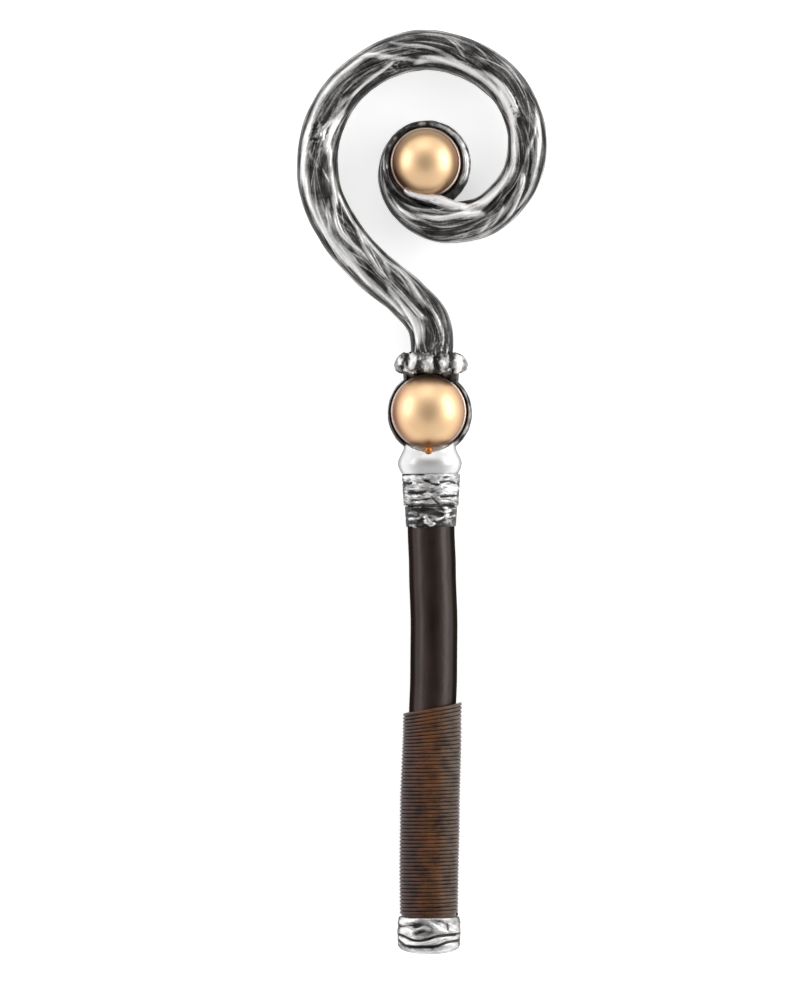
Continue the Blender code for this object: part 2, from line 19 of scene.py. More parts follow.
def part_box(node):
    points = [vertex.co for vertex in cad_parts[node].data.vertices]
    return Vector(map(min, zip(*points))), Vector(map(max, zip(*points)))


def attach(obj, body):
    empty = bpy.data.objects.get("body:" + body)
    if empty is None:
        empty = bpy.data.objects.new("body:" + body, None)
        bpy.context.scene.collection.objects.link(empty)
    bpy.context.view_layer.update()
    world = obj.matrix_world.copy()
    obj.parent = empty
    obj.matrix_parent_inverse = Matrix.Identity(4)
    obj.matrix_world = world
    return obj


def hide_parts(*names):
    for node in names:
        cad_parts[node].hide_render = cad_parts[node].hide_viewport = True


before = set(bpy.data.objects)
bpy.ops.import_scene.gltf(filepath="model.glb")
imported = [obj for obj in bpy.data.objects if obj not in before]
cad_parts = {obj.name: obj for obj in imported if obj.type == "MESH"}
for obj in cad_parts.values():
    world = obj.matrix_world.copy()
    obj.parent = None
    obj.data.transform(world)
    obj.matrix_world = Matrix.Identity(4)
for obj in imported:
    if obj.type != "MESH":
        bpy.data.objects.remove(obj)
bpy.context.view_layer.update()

# %% [markdown]
# ## The staff's own measures
#
# Along the staff everything is counted from the butt's end, as a turner would mark a blank.
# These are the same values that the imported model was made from, in metres.

# %% Measures along the staff
neck_low, neck_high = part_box("neck_orb")
butt_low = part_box("butt_cap")[0]
NECK_ORB_SHIFT = -0.0008
NECK_LEAN = -0.0007         # the neck's cup, dome and ring stand this far aside of the axis
STAFF_SIDE = (neck_low.x + neck_high.x) / 2 - NECK_ORB_SHIFT    # the staff's axis, across the floor
BUTT_PLACE = butt_low.y                                         # the butt's end, along the floor
AXIS_HEIGHT = 0.0177                                            # the staff's axis, over the floor

SHAFT_RADIUS = 0.0135
BORE_RADIUS = 0.0138
BOW_SHARES = (0.0, 0.17, 0.33, 0.53, 0.66, 0.77, 0.90, 1.0)
BOW_OFFSETS = (-0.0012, -0.0012, -0.0007, 0.0006, 0.0015, 0.0017, 0.0008, 0.0)
CAP_LENGTH = 0.0213
BINDING_START = 0.0216
BINDING_LENGTH = 0.1204
BINDING_TILT = 0.0026
HEAD_START = 0.2456
TIER_JOINT = 0.2571
RING_START = 0.2759
WAIST_PLACE = 0.2916
NECK_BOSS_PLACE = 0.31072
COLLAR_START = 0.33295
CROOK_FOOT = 0.34815
CROOK_HEIGHT = 0.1826
print("staff's axis at x =", round(STAFF_SIDE, 5), "butt at y =", round(BUTT_PLACE, 5))


def ease(share):
    """From 0 to 1 with a soft start and end."""
    share = min(max(share, 0.0), 1.0)
    return share * share * (3.0 - 2.0 * share)


def mix(low, high, share):
    """The value at a share of the way from low to high."""
    return low + (high - low) * share


def axis_side(place):
    """How far the slightly bowed shaft stands to the side, at a place along the staff."""
    share = min(max(place / HEAD_START, 0.0), 1.0)
    index = max(number for number, low in enumerate(BOW_SHARES[:-1]) if low <= share)
    low, high = BOW_SHARES[index], BOW_SHARES[index + 1]
    return mix(BOW_OFFSETS[index], BOW_OFFSETS[index + 1], ease((share - low) / (high - low)))


# %% [markdown]
# ## Working by hand
#
# An operator acts on everything that is selected, so each step starts by letting go of all.
# Most parts of a staff are turned, so the first helper is a lathe: one point is drawn out
# into half an outline, and the outline is spun once round its axis.

# %% Helpers for modelling
def let_go():
    """Object mode, with nothing selected."""
    if bpy.context.object and bpy.context.object.mode != "OBJECT":
        bpy.ops.object.mode_set(mode="OBJECT")
    bpy.ops.object.select_all(action="DESELECT")


def pick(piece):
    """Selects one piece and makes it the active one."""
    let_go()
    piece.select_set(True)
    bpy.context.view_layer.objects.active = piece


def close_up(piece, gap=0.000002):
    """Merges points that meet, fills what is open and turns every face outwards."""
    pick(piece)
    bpy.ops.object.mode_set(mode="EDIT")
    bpy.ops.mesh.select_all(action="SELECT")
    bpy.ops.mesh.remove_doubles(threshold=gap)
    bpy.ops.mesh.select_all(action="SELECT")
    bpy.ops.mesh.fill_holes(sides=0)
    bpy.ops.mesh.select_all(action="SELECT")
    bpy.ops.mesh.normals_make_consistent(inside=False)
    bpy.ops.object.mode_set(mode="OBJECT")


def lathe(name, outline, axis, steps):
    """Spins an outline of (radius, place) points; axis "Y" runs along the staff, "Z" stands up."""
    def corner(point):
        radius, place = point
        return Vector((radius, place, 0.0)) if axis == "Y" else Vector((radius, 0.0, place))

    let_go()
    corners = [corner(point) for point in outline]
    bpy.ops.mesh.primitive_plane_add(size=0.001, location=corners[0])
    piece = bpy.context.object
    piece.name = name
    bpy.ops.object.transform_apply(location=True)
    bpy.ops.object.mode_set(mode="EDIT")
    bpy.ops.mesh.select_all(action="SELECT")
    bpy.ops.mesh.merge(type="CENTER")
    for before, after in zip(corners, corners[1:]):
        bpy.ops.mesh.extrude_region_move(TRANSFORM_OT_translate={"value": after - before})
    bpy.ops.mesh.select_all(action="SELECT")
    turn_axis = (0.0, 1.0, 0.0) if axis == "Y" else (0.0, 0.0, 1.0)
    bpy.ops.mesh.spin(steps=steps, angle=math.tau, center=(0.0, 0.0, 0.0), axis=turn_axis)
    close_up(piece)
    return piece


def points_of(piece):
    """The piece's points as rows of x, y and z."""
    points = np.zeros(len(piece.data.vertices) * 3)
    piece.data.vertices.foreach_get("co", points)
    return points.reshape(-1, 3)


def normals_of(piece):
    """The direction that each point faces."""
    normals = np.zeros(len(piece.data.vertices) * 3, np.float32)
    piece.data.vertices.foreach_get("normal", normals)
    return normals.reshape(-1, 3)


def set_points(piece, points):
    """Moves the piece's points to new places."""
    piece.data.vertices.foreach_set("co", np.ascontiguousarray(points, float).ravel())
    piece.data.update()


def keep_off_floor(piece):
    """Lifts what would sink into the floor, and gives the points."""
    points = points_of(piece)
    points[:, 2] = np.clip(points[:, 2], 0.0, None)
    set_points(piece, points)
    return points


def new_ball(name, radius, segments, rings):
    """A ball at the origin, as a start for a piece."""
    let_go()
    bpy.ops.mesh.primitive_uv_sphere_add(segments=segments, ring_count=rings, radius=radius)
    piece = bpy.context.object
    piece.name = name
    return piece


def noise_at(x, y, z):
    """Smooth noise from about -1 to 1."""
    return noise.noise(Vector((x, y, z)))


def crest(away, width):
    """A rounded ridge: 1 on its line, 0 from its half width outwards."""
    return np.clip(1.0 - (away / width) ** 2, 0.0, None) ** 1.2


def bell(distance, width):
    """A soft spot: 1 in its middle, fading with the distance."""
    return np.exp(-(distance / width) ** 2)


def note(piece, name, values):
    """Keeps one number for each point, for the piece's paint to read."""
    layer = piece.data.attributes.get(name)
    if layer is None:
        layer = piece.data.attributes.new(name, "FLOAT", "POINT")
    layer.data.foreach_set("value", np.ascontiguousarray(values, np.float32))


def put_on_staff(piece, side, place, height=AXIS_HEIGHT):
    """Moves a piece to its place on the staff and leaves its object at the origin."""
    pick(piece)
    bpy.ops.transform.translate(value=(STAFF_SIDE + side, BUTT_PLACE + place, height))
    bpy.ops.object.transform_apply(location=True, rotation=True, scale=True)


def smooth(piece, angle=40.0):
    """Shades the piece smooth, and keeps edges sharper than the angle."""
    pick(piece)
    bpy.ops.object.shade_smooth_by_angle(angle=math.radians(angle))


def join(name, pieces):
    """Joins separate closed bodies into one piece."""
    let_go()
    for piece in pieces:
        piece.select_set(True)
    bpy.context.view_layer.objects.active = pieces[0]
    bpy.ops.object.join()
    pieces[0].name = name
    return pieces[0]


def make_room(piece, centre, seat):
    """Lowers what stands over a round seat, given as (distance from its centre, height)."""
    points = points_of(piece)
    distance = np.hypot(points[:, 0] - centre[0], points[:, 1] - centre[1])
    limit = np.interp(distance, *zip(*seat))
    lowered = points[:, 2] > limit
    points[lowered, 2] = limit[lowered]
    set_points(piece, points)
    return lowered


# %% [markdown]
# ## The crook's line
#
# The crook follows one line: up through a gentle S, once round the loop, and inwards until it
# runs into the cup. Each station is given in shares of the crook's height: how far to the side
# and how far up the line runs, and how thick the tube is there. The camera stands over the
# middle of the staff, so it sees the top of the loop a little from below; the tilt says how
# much, all along the line.

# %% Lay the crook's line
CROOK_ROWS = 598
CAMERA_SIDE = -0.01225
CAMERA_PLACE = 0.00056
CAMERA_REACH = 3.6          # from the staff's axis up to the camera
CROOK_STATIONS = (
    (0.004, -0.046, 0.0700),
    (-0.006, 0.072, 0.0730),
    (-0.073, 0.156, 0.0705),
    (-0.189, 0.252, 0.0700),
    (-0.288, 0.368, 0.0720),
    (-0.350, 0.506, 0.0700),
    (-0.349, 0.658, 0.0670),
    (-0.287, 0.797, 0.0655),
    (-0.172, 0.894, 0.0645),
    (-0.026, 0.939, 0.0650),
    (0.122, 0.909, 0.0650),
    (0.243, 0.818, 0.0650),
    (0.301, 0.677, 0.0645),
    (0.279, 0.530, 0.0650),
    (0.176, 0.420, 0.0680),
)
CURL_BOSS_RADIUS = 0.0255
CURL_SIDE = -0.014 * CROOK_HEIGHT
CURL_PLACE = CROOK_FOOT + 0.578 * CROOK_HEIGHT
TAIL_STEPS = 7
TAIL_FROM = math.radians(-70.0)
TAIL_TO = math.radians(-240.0)
TAIL_RADIUS = 0.0034        # of the tube where it ends inside the cup
TAIL_REACH = 0.123 * CROOK_HEIGHT


def through(values, count=8):
    """A smooth row of points through the given ones, count steps to each."""
    values = np.asarray(values, float)
    padded = np.vstack([2 * values[0] - values[1], values, 2 * values[-1] - values[-2]])
    smooth_row = []
    for before, here, ahead, beyond in zip(padded, padded[1:], padded[2:], padded[3:]):
        for t in np.linspace(0.0, 1.0, count, endpoint=False):
            smooth_row.append(0.5 * (2 * here + (ahead - before) * t
                                     + (2 * before - 5 * here + 4 * ahead - beyond) * t ** 2
                                     + (3 * here - before - 3 * ahead + beyond) * t ** 3))
    smooth_row.append(values[-1])
    return np.array(smooth_row)


row_share = np.linspace(0.0, 1.0, CROOK_ROWS + 1)
stations = [tuple(CROOK_HEIGHT * value for value in station) for station in CROOK_STATIONS]
radius_before_tail = stations[-1][2]
for step in range(TAIL_STEPS + 1):
    share = step / TAIL_STEPS
    turn = mix(TAIL_FROM, TAIL_TO, share)
    radius = mix(radius_before_tail, TAIL_RADIUS, ease(share))
    distance = CURL_BOSS_RADIUS + TAIL_REACH * (1.0 - share) ** 2.2 - radius
    stations.append((CURL_SIDE + distance * math.cos(turn),
                     CURL_PLACE - CROOK_FOOT + distance * math.sin(turn), radius))
line = through(stations, 32)
steps_along = np.hypot(*np.diff(line[:, :2], axis=0).T)
travelled = np.concatenate([[0.0], np.cumsum(steps_along)])
at_rows = [np.interp(row_share * travelled[-1], travelled, line[:, axis]) for axis in range(3)]
heading = np.gradient(np.column_stack(at_rows[:2]), axis=0)
heading /= np.linalg.norm(heading, axis=1)[:, None]
CROOK_LENGTH = travelled[-1]
tilt = ((at_rows[0] + STAFF_SIDE - CAMERA_SIDE) * heading[:, 1]
        - (at_rows[1] + BUTT_PLACE + CROOK_FOOT - CAMERA_PLACE) * heading[:, 0]) / CAMERA_REACH
print("the line is", round(CROOK_LENGTH * 1000, 1), "mm long")

# %% [markdown]
# ## The crook, carved flat
#
# The crook is a tube with long ridges like the grain of a twisted branch. They run along it,
# wander round it, meet in sharp forks and leave dark hollows shaped like almonds. Carving that
# on a bent tube would be hard, so the surface is first laid out flat: one side of a fine grid
# is the way along the crook, the other the way round it. Each ridge is one stroke of the
# carver: points of (share of the crook's length in percent, place across the tube as it is
# seen, from -1 at its left edge to 1 at its right), then half width and height in millimetres,
# and how much white is laid on it, from 0 to 1, partly thick paint and partly a painted
# highlight.

# %% The carver's strokes
STROKES = (
    (((1.5, -0.64), (5.0, -0.57), (7.0, -0.47), (9.0, -0.38), (10.5, -0.30), (11.5, -0.16),
      (12.4, 0.00)), 2.6, 1.2, 0.7),
    (((7.5, -0.64), (12.0, -0.57), (16.0, -0.54), (20.0, -0.58), (24.0, -0.57), (28.0, -0.64),
      (32.0, -0.64), (36.0, -0.62), (40.0, -0.55), (43.0, -0.62)), 3.0, 0.9, 0.45),
    (((1.6, -0.38), (3.5, -0.33), (5.2, -0.26)), 1.2, 0.45, 0.0),
    (((2.2, 0.34), (3.2, 0.05), (4.6, -0.18)), 1.1, 0.45, 0.0),
    (((5.0, 0.06), (6.0, -0.10), (7.5, -0.16), (9.0, -0.15), (10.0, -0.07), (11.0, 0.08),
      (12.0, 0.27), (13.0, 0.49), (14.2, 0.70)), 1.9, 0.95, 0.0),
    (((1.5, 0.46), (3.5, 0.48), (5.5, 0.40), (7.0, 0.38), (8.0, 0.43), (9.0, 0.52), (10.0, 0.63),
      (11.3, 0.77), (13.0, 0.84)), 1.9, 0.90, 0.2),
    (((8.3, 0.14), (9.7, 0.36), (11.0, 0.55), (12.2, 0.70)), 1.0, 0.35, 0.0),
    (((12.2, 0.10), (13.5, 0.16), (14.5, 0.25), (16.0, 0.38), (17.5, 0.52), (18.5, 0.63),
      (19.7, 0.75)), 1.7, 0.80, 0.0),
    (((10.5, 0.80), (14.0, 0.76), (17.0, 0.77), (20.0, 0.75), (23.0, 0.73), (26.0, 0.67)), 2.1, 0.80, 0.0),
    (((15.2, 0.15), (17.0, 0.17), (18.0, 0.13), (19.0, 0.06), (20.0, 0.02), (21.0, 0.08),
      (22.0, 0.19), (23.0, 0.33), (24.0, 0.47)), 1.5, 1.10, 0.2),
    (((22.6, 0.28), (23.4, 0.40), (24.2, 0.50), (25.0, 0.58), (26.0, 0.62), (28.0, 0.63),
      (30.0, 0.58), (32.0, 0.47)), 2.3, 1.10, 0.8),
    (((15.6, -0.27), (17.5, -0.26), (19.0, -0.37), (20.0, -0.40), (21.0, -0.33), (22.0, -0.17),
      (23.0, -0.03), (24.0, 0.12), (24.8, 0.22)), 1.5, 0.70, 0.0),
    (((27.2, 0.42), (28.0, 0.18), (29.0, -0.06), (30.0, -0.32), (30.9, -0.52)), 1.1, 0.50, 0.0),
    (((29.5, 0.56), (32.0, 0.42), (34.0, 0.46), (36.0, 0.57), (37.5, 0.57)), 2.7, 1.05, 0.9),
    (((34.5, 0.50), (36.0, 0.57), (38.0, 0.56), (40.0, 0.50), (42.0, 0.48), (44.0, 0.43),
      (45.0, 0.36), (46.2, 0.22)), 1.5, 1.05, 0.9),
    (((30.8, -0.46), (32.2, -0.30), (33.2, -0.04), (34.3, 0.22), (35.4, 0.46)), 1.6, 0.70, 0.0),
    (((31.0, 0.46), (32.4, 0.12), (33.4, -0.16), (34.4, -0.42)), 1.5, 0.70, 0.0),
    (((34.8, -0.18), (37.0, -0.12), (39.5, -0.14), (42.0, -0.24)), 0.9, 0.30, 0.0),
    (((36.5, 0.14), (39.0, 0.10), (41.5, 0.08), (44.3, 0.16)), 0.9, 0.30, 0.0),
    (((42.6, -0.72), (43.4, -0.60), (44.2, -0.42), (44.9, -0.22), (45.5, -0.10), (46.3, 0.08),
      (47.0, 0.22), (48.2, 0.42), (49.4, 0.55)), 2.1, 1.10, 0.4),
    (((44.8, 0.24), (45.3, 0.50), (45.9, 0.78)), 1.5, 0.80, 0.0),
    (((48.2, 0.64), (50.0, 0.50), (52.0, 0.47), (54.0, 0.49), (56.0, 0.52), (58.0, 0.54),
      (60.0, 0.52), (62.0, 0.47), (64.0, 0.50), (66.0, 0.58), (68.0, 0.65), (70.0, 0.62),
      (73.0, 0.57), (76.0, 0.60), (79.0, 0.62), (81.0, 0.64), (83.0, 0.70)), 3.6, 1.00, 1.0),
    (((57.0, 0.36), (59.0, 0.24), (61.5, 0.14), (63.5, 0.18), (65.6, 0.36)), 2.8, 0.85, 0.8),
    (((46.2, -0.76), (47.0, -0.55), (48.0, -0.38), (49.0, -0.25), (50.0, -0.16), (51.0, -0.05),
      (52.0, 0.05), (53.0, 0.16), (54.8, 0.36)), 1.7, 0.85, 0.0),
    (((52.2, -0.72), (53.5, -0.47), (54.5, -0.16), (55.2, 0.08), (56.0, 0.32)), 0.9, 0.45, 0.0),
    (((53.1, -0.70), (54.3, -0.44), (54.9, -0.30)), 0.9, 0.45, 0.0),
    (((55.1, -0.82), (56.5, -0.63), (58.0, -0.42)), 0.9, 0.45, 0.0),
    (((59.0, -0.60), (61.0, -0.50), (63.0, -0.46), (64.6, -0.50)), 1.4, 0.45, 0.0),
    (((64.6, -0.84), (66.0, -0.66), (67.0, -0.52), (68.0, -0.36), (69.0, -0.19), (70.0, -0.03),
      (71.0, 0.06), (72.0, 0.07), (73.0, -0.04)), 1.2, 0.45, 0.0),
    (((65.4, -0.74), (68.0, -0.63), (70.0, -0.57), (72.0, -0.58), (74.0, -0.66),
      (76.4, -0.74)), 2.5, 0.85, 0.3),
    (((72.3, 0.08), (73.0, -0.10), (74.0, -0.28), (75.0, -0.41), (76.0, -0.53), (77.0, -0.64),
      (78.2, -0.74)), 1.9, 1.15, 0.5),
    (((76.5, 0.10), (77.3, -0.18), (78.0, -0.35), (79.0, -0.52), (80.0, -0.68)), 1.1, 0.60, 0.0),
    (((78.7, -0.05), (79.5, -0.33), (80.3, -0.55), (81.1, -0.72)), 1.3, 0.70, 0.0),
    (((80.9, -0.02), (81.6, -0.38), (82.1, -0.60), (82.7, -0.78)), 1.2, 0.65, 0.0),
    (((83.4, -0.34), (83.8, 0.00), (84.1, 0.26)), 0.9, 0.45, 0.0),
    (((79.3, 0.10), (80.5, 0.25), (82.0, 0.36), (84.0, 0.28), (85.0, 0.20), (86.5, 0.04),
      (87.5, -0.11), (88.5, -0.30), (89.5, -0.47)), 2.7, 1.30, 0.8),
    (((84.0, 0.30), (86.0, 0.12), (87.5, -0.10), (89.0, -0.34), (90.0, -0.48)), 2.0, 1.30, 1.0),
    (((81.8, 0.42), (84.0, 0.47), (86.0, 0.40), (87.0, 0.31), (88.0, 0.21), (89.0, 0.08),
      (89.9, -0.06)), 1.3, 0.65, 0.0),
    (((87.6, 0.38), (89.0, 0.31), (90.4, 0.24)), 1.0, 0.45, 0.0),
    (((82.0, 0.66), (83.5, 0.74), (85.0, 0.84), (86.5, 0.86), (88.0, 0.77), (90.0, 0.54),
      (91.4, 0.40)), 3.0, 1.00, 0.4),
    (((86.3, -0.66), (89.0, -0.63), (92.0, -0.62), (94.0, -0.58)), 1.5, 0.50, 0.0),
    (((92.3, -0.28), (94.0, -0.42), (95.0, -0.50), (96.0, -0.68), (96.7, -0.88)), 1.4, 0.75, 0.0),
)
print(len(STROKES), "strokes on the crook's front")

# %% [markdown]
# The paint doesn't follow the carving alone. The brush was pressed in some places and missed
# others, and each dab says so: its share along the crook in percent, its place across, how far
# it reaches each way, and how much silver it adds or leaves out. In a few places, given in the
# same way, the brush was scrubbed on, and the paint broke up into spots.

# %% The painter's dabs
DABS = (
    (0.9, 0.00, 1.8, 0.90, -0.30), (3.6, 0.08, 1.8, 0.26, -0.30), (8.5, -0.26, 3.2, 0.07, -0.35),
    (12.8, -0.20, 1.1, 0.10, -0.45), (14.2, -0.06, 1.2, 0.09, -0.35), (8.2, 0.06, 2.4, 0.07, -0.30),
    (11.6, 0.38, 1.6, 0.14, -0.40), (8.0, 0.66, 2.2, 0.14, -0.22), (15.0, -0.32, 1.6, 0.10, -0.15),
    (16.8, -0.10, 0.9, 0.08, -0.35), (21.2, 0.40, 2.8, 0.20, -0.42), (21.0, -0.22, 1.6, 0.07, -0.25),
    (24.0, 0.03, 1.0, 0.08, -0.30), (27.6, 0.10, 2.6, 0.26, -0.32), (28.2, 0.54, 0.8, 0.08, -0.30),
    (29.6, 0.24, 0.9, 0.10, -0.20), (31.3, -0.30, 0.6, 0.10, -0.35), (32.1, -0.34, 0.5, 0.12, -0.50),
    (33.6, -0.36, 0.8, 0.14, -0.30), (33.3, 0.28, 0.5, 0.08, -0.25), (35.6, -0.04, 2.0, 0.16, -0.38),
    (40.8, 0.00, 3.2, 0.22, -0.10), (40.2, 0.70, 4.6, 0.11, -0.40), (44.9, 0.62, 0.9, 0.10, -0.30),
    (46.8, -0.20, 1.5, 0.20, -0.30), (48.6, 0.05, 1.3, 0.18, -0.25), (47.2, 0.52, 0.9, 0.10, -0.30),
    (51.0, -0.30, 1.2, 0.20, -0.10), (55.0, 0.18, 2.4, 0.14, -0.25), (60.4, -0.20, 1.6, 0.14, -0.15),
    (63.8, 0.50, 0.3, 0.09, -0.60), (64.2, -0.16, 1.0, 0.10, -0.25), (66.6, 0.40, 0.9, 0.08, -0.35),
    (67.6, -0.04, 1.5, 0.14, -0.50), (70.0, 0.17, 1.5, 0.12, -0.50), (70.6, -0.30, 1.2, 0.12, -0.20),
    (72.6, 0.24, 1.9, 0.13, -0.45), (74.6, 0.02, 1.1, 0.10, -0.30), (77.2, 0.28, 1.8, 0.14, -0.20),
    (77.6, -0.10, 1.0, 0.10, -0.20), (82.6, -0.28, 2.5, 0.28, -0.62), (86.4, -0.16, 2.2, 0.13, -0.40),
    (87.6, 0.54, 1.2, 0.06, -0.35), (88.6, 0.16, 1.8, 0.16, 0.30), (5.6, -0.74, 2.0, 0.12, 0.15),
    (13.0, -0.60, 3.0, 0.14, 0.10), (23.5, -0.40, 2.0, 0.12, 0.15), (32.8, 0.16, 1.5, 0.40, 0.25),
    (45.7, 0.44, 1.1, 0.34, 0.25), (60.8, -0.80, 5.0, 0.14, 0.15), (62.8, 0.32, 2.4, 0.28, 0.30),
    (80.6, 0.30, 1.4, 0.14, 0.20), (3.5, -0.80, 3.2, 0.10, -0.35), (13.0, -0.78, 4.0, 0.12, -0.25),
    (9.5, 0.10, 1.8, 0.09, -0.25), (13.9, -0.38, 1.6, 0.09, 0.22), (89.5, -0.44, 1.3, 0.12, 0.65),
    (90.6, -0.10, 1.5, 0.36, 0.10), (94.3, -0.50, 2.0, 0.22, 0.12),
)
SCRUBS = ((32.6, -0.05, 1.7, 0.55), (46.4, 0.45, 1.3, 0.30), (64.2, 0.30, 1.6, 0.35),
          (1.6, 0.30, 1.2, 0.50))
SCRUB_GRAIN = 0.0013
SCRUB_STRENGTH = 0.85
print(len(DABS), "dabs")

# %% [markdown]
# The back of the crook lies on the floor. It keeps the same kind of grain, but plainer: a few
# even ridges that wind slowly. Between the strokes the surface is never quite smooth, so
# stretched noise adds faint swellings, then narrow grain, then hair-fine lines. The noise is
# read on the straight tube, not on the flat sheet, so that it closes without a seam.

# %% Carve the flat sheet
CROOK_SIDES = 164
FRONT_CROWDING = 0.30       # the sheet's lines stand closer together on the front
STRAIGHT_RADIUS = 0.0120    # of the tube that the noise is read on
BACK_RIDGES = 6
BACK_FROM = math.radians(118.0)
BACK_SPAN = math.radians(124.0)
BACK_WIDTH = 0.0030
BACK_HEIGHT = 0.0008
END_WIDTH = 0.35            # a stroke's width at its ends, as a share of its full width
TAPER = 0.011               # how soon a stroke tapers, as a share of the crook's length
STEEPEST = 0.98             # strokes stay this far inside the tube's seen edges

let_go()
bpy.ops.mesh.primitive_grid_add(x_subdivisions=CROOK_SIDES, y_subdivisions=CROOK_ROWS, size=1.0)
crook = bpy.context.object
crook.name = "crook_tube"
sheet = points_of(crook)
sheet_row = np.rint((sheet[:, 1] + 0.5) * CROOK_ROWS).astype(int)
sheet_column = np.rint((sheet[:, 0] + 0.5) * CROOK_SIDES).astype(int)
even_turn = np.linspace(-math.pi, math.pi, CROOK_SIDES + 1)
column_turn = even_turn - FRONT_CROWDING * np.sin(even_turn)


def stroke_height(path, half_width, height, taper=TAPER):
    """The height that one stroke adds, over the whole sheet."""
    first, last = path[0, 0], path[-1, 0]
    middle = np.interp(row_share, path[:, 0], path[:, 1])
    lean = np.gradient(middle, row_share * CROOK_LENGTH) * STRAIGHT_RADIUS
    ends = np.clip(np.minimum(row_share - first, last - row_share) / taper, 0.0, 1.0) ** 0.5
    away = column_turn[None, :] - middle[:, None]
    away = (away + math.pi) % math.tau - math.pi
    away = np.abs(away) * STRAIGHT_RADIUS / np.sqrt(1.0 + lean[:, None] ** 2)
    width = half_width * mix(END_WIDTH, 1.0, ends)[:, None]
    return height * ends[:, None] * crest(away, width)


def on_sheet(stroke):
    """A stroke's path as (share of the length, turn round the tube), with many points."""
    path = through(stroke)
    path[:, 0] /= 100.0
    tilt_here = np.interp(path[:, 0], row_share, tilt)
    path[:, 1] = np.arcsin(np.clip(path[:, 1], -STEEPEST, STEEPEST)) - np.arctan(tilt_here)
    return path


carving = np.zeros((CROOK_ROWS + 1, CROOK_SIDES + 1))
brushed = np.zeros_like(carving)
thick_and_highlight = np.zeros_like(carving)
# The white on each stroke is partly thick paint and partly a painted highlight.
for stroke, half_width, height, white in STROKES:
    mark = stroke_height(on_sheet(stroke), half_width / 1000, 1.0)
    carving = np.maximum(carving, height / 1000 * mark)
    brushed = np.maximum(brushed, min(0.5 + 0.5 * height, 1.0) * mark)
    thick_and_highlight = np.maximum(thick_and_highlight, white * mark)
for number in range(BACK_RIDGES):
    wander = np.linspace(0.0, 1.0, 30)
    winding = BACK_FROM + BACK_SPAN * number / (BACK_RIDGES - 1)
    winding += 0.20 * np.sin(9.0 * wander + 2.1 * number) + 0.10 * np.sin(31.0 * wander + number)
    path = np.column_stack([wander, winding])
    ridge = stroke_height(path, BACK_WIDTH * (0.7 + 0.1 * (number % 3)), BACK_HEIGHT)
    carving = np.maximum(carving, ridge)
print("highest carving", round(carving.max() * 1000, 2), "mm")

# %% [markdown]
# The fine grain winds round the tube one way up to the loop's top, and then back the other
# way, as the ridges do. It leaves every point a little higher or lower. Each kind of noise is
# given by the size of its grain across and along the tube, and by a seed.

# %% Add the grain between the strokes
SWELLING_DEPTH = 0.00045
GRAIN_DEPTH = 0.00045
SWELLING = (0.0090, 0.040, 3.0)
NARROW_GRAIN = (0.0024, 0.018, 11.0)
FINEST_GRAIN = (0.0011, 0.008, 23.0)
NARROW_SHARE = 0.65
TWIST_TURNS = 0.64          # the share of the crook's length where the grain turns back


def twist_at(share):
    """How far the fine grain has wound round the tube."""
    return 5.0 * share - 11.0 * max(share - TWIST_TURNS, 0.0)


def straight_noise(share, turn, across, along, seed):
    """Noise on the straight tube; across and along are the sizes of its grain."""
    turn = turn - twist_at(share)
    return noise_at(STRAIGHT_RADIUS * math.sin(turn) / across + seed,
                    STRAIGHT_RADIUS * math.cos(turn) / across, share * CROOK_LENGTH / along)


swelling = np.zeros_like(carving)
grain = np.zeros_like(carving)
for row, share in enumerate(row_share):
    for column, turn in enumerate(column_turn):
        swelling[row, column] = straight_noise(share, turn, *SWELLING)
        grain[row, column] = mix(straight_noise(share, turn, *FINEST_GRAIN),
                                 straight_noise(share, turn, *NARROW_GRAIN), NARROW_SHARE)
swelling[:, -1], grain[:, -1] = swelling[:, 0], grain[:, 0]


def soften(values, times):
    """Spreads the values a little along the tube and round it."""
    for _ in range(times):
        values = (values + np.roll(values, 1, axis=1) + np.roll(values, -1, axis=1)) / 3.0
        values[1:-1] = (values[:-2] + values[1:-1] + values[2:]) / 3.0
    return values


carving = soften(carving * (0.88 + 0.55 * grain), 2)
halo = soften(carving, 18)
surface = carving + swelling * SWELLING_DEPTH + grain * GRAIN_DEPTH
print("surface from", round(surface.min() * 1000, 2), "to", round(surface.max() * 1000, 2), "mm")

# %% [markdown]
# The wear says how much silver the brush left at each point, and it also carries painted light
# and shade: most silver on the ridges, a little on the swellings, more or less at the dabs. Its
# bristles also drew single hair lines that cross the grain. Near each edge runs a thin dark line
# of painted shade. Along the crook, in percent of its length, pairs give how clearly it shows,
# from 0 to 1, and how far out it runs. Outside it the flank is brightened by a painted
# highlight, and a weaker painted highlight runs just inside the line. Where the brush came back,
# on the longest ridges, the paint is more white than silver: partly thick paint, partly a
# painted highlight.

# %% Brush the silver on, with painted light near the edges
BARE_WEAR = 0.12            # the silver where no ridge and no swelling stands
LEAST_WEAR = -0.12
STROKE_WEAR = 0.50
HALO_WEAR = 100.0           # for each metre of carving near by
SWELLING_WEAR = 0.34
GRAIN_WEAR = 0.36
THICK_AND_HIGHLIGHT_WEAR = 0.16
HAIR_LINES = 220
HAIR_SHARES = (0.005, 0.95)
HAIR_SIDES = (-0.85, 0.85)
HAIR_LENGTHS = (0.012, 0.045)
HAIR_LEANS = (-0.14, 0.42)
HAIR_BENDS = (-0.3, 0.3)
HAIR_HALF_WIDTHS = (0.00038, 0.00062)
HAIR_STRENGTHS = (0.16, 0.52)
HAIR_TAPER = 0.02
HAIR_WEAR = 0.20            # what a hair adds where silver lies already
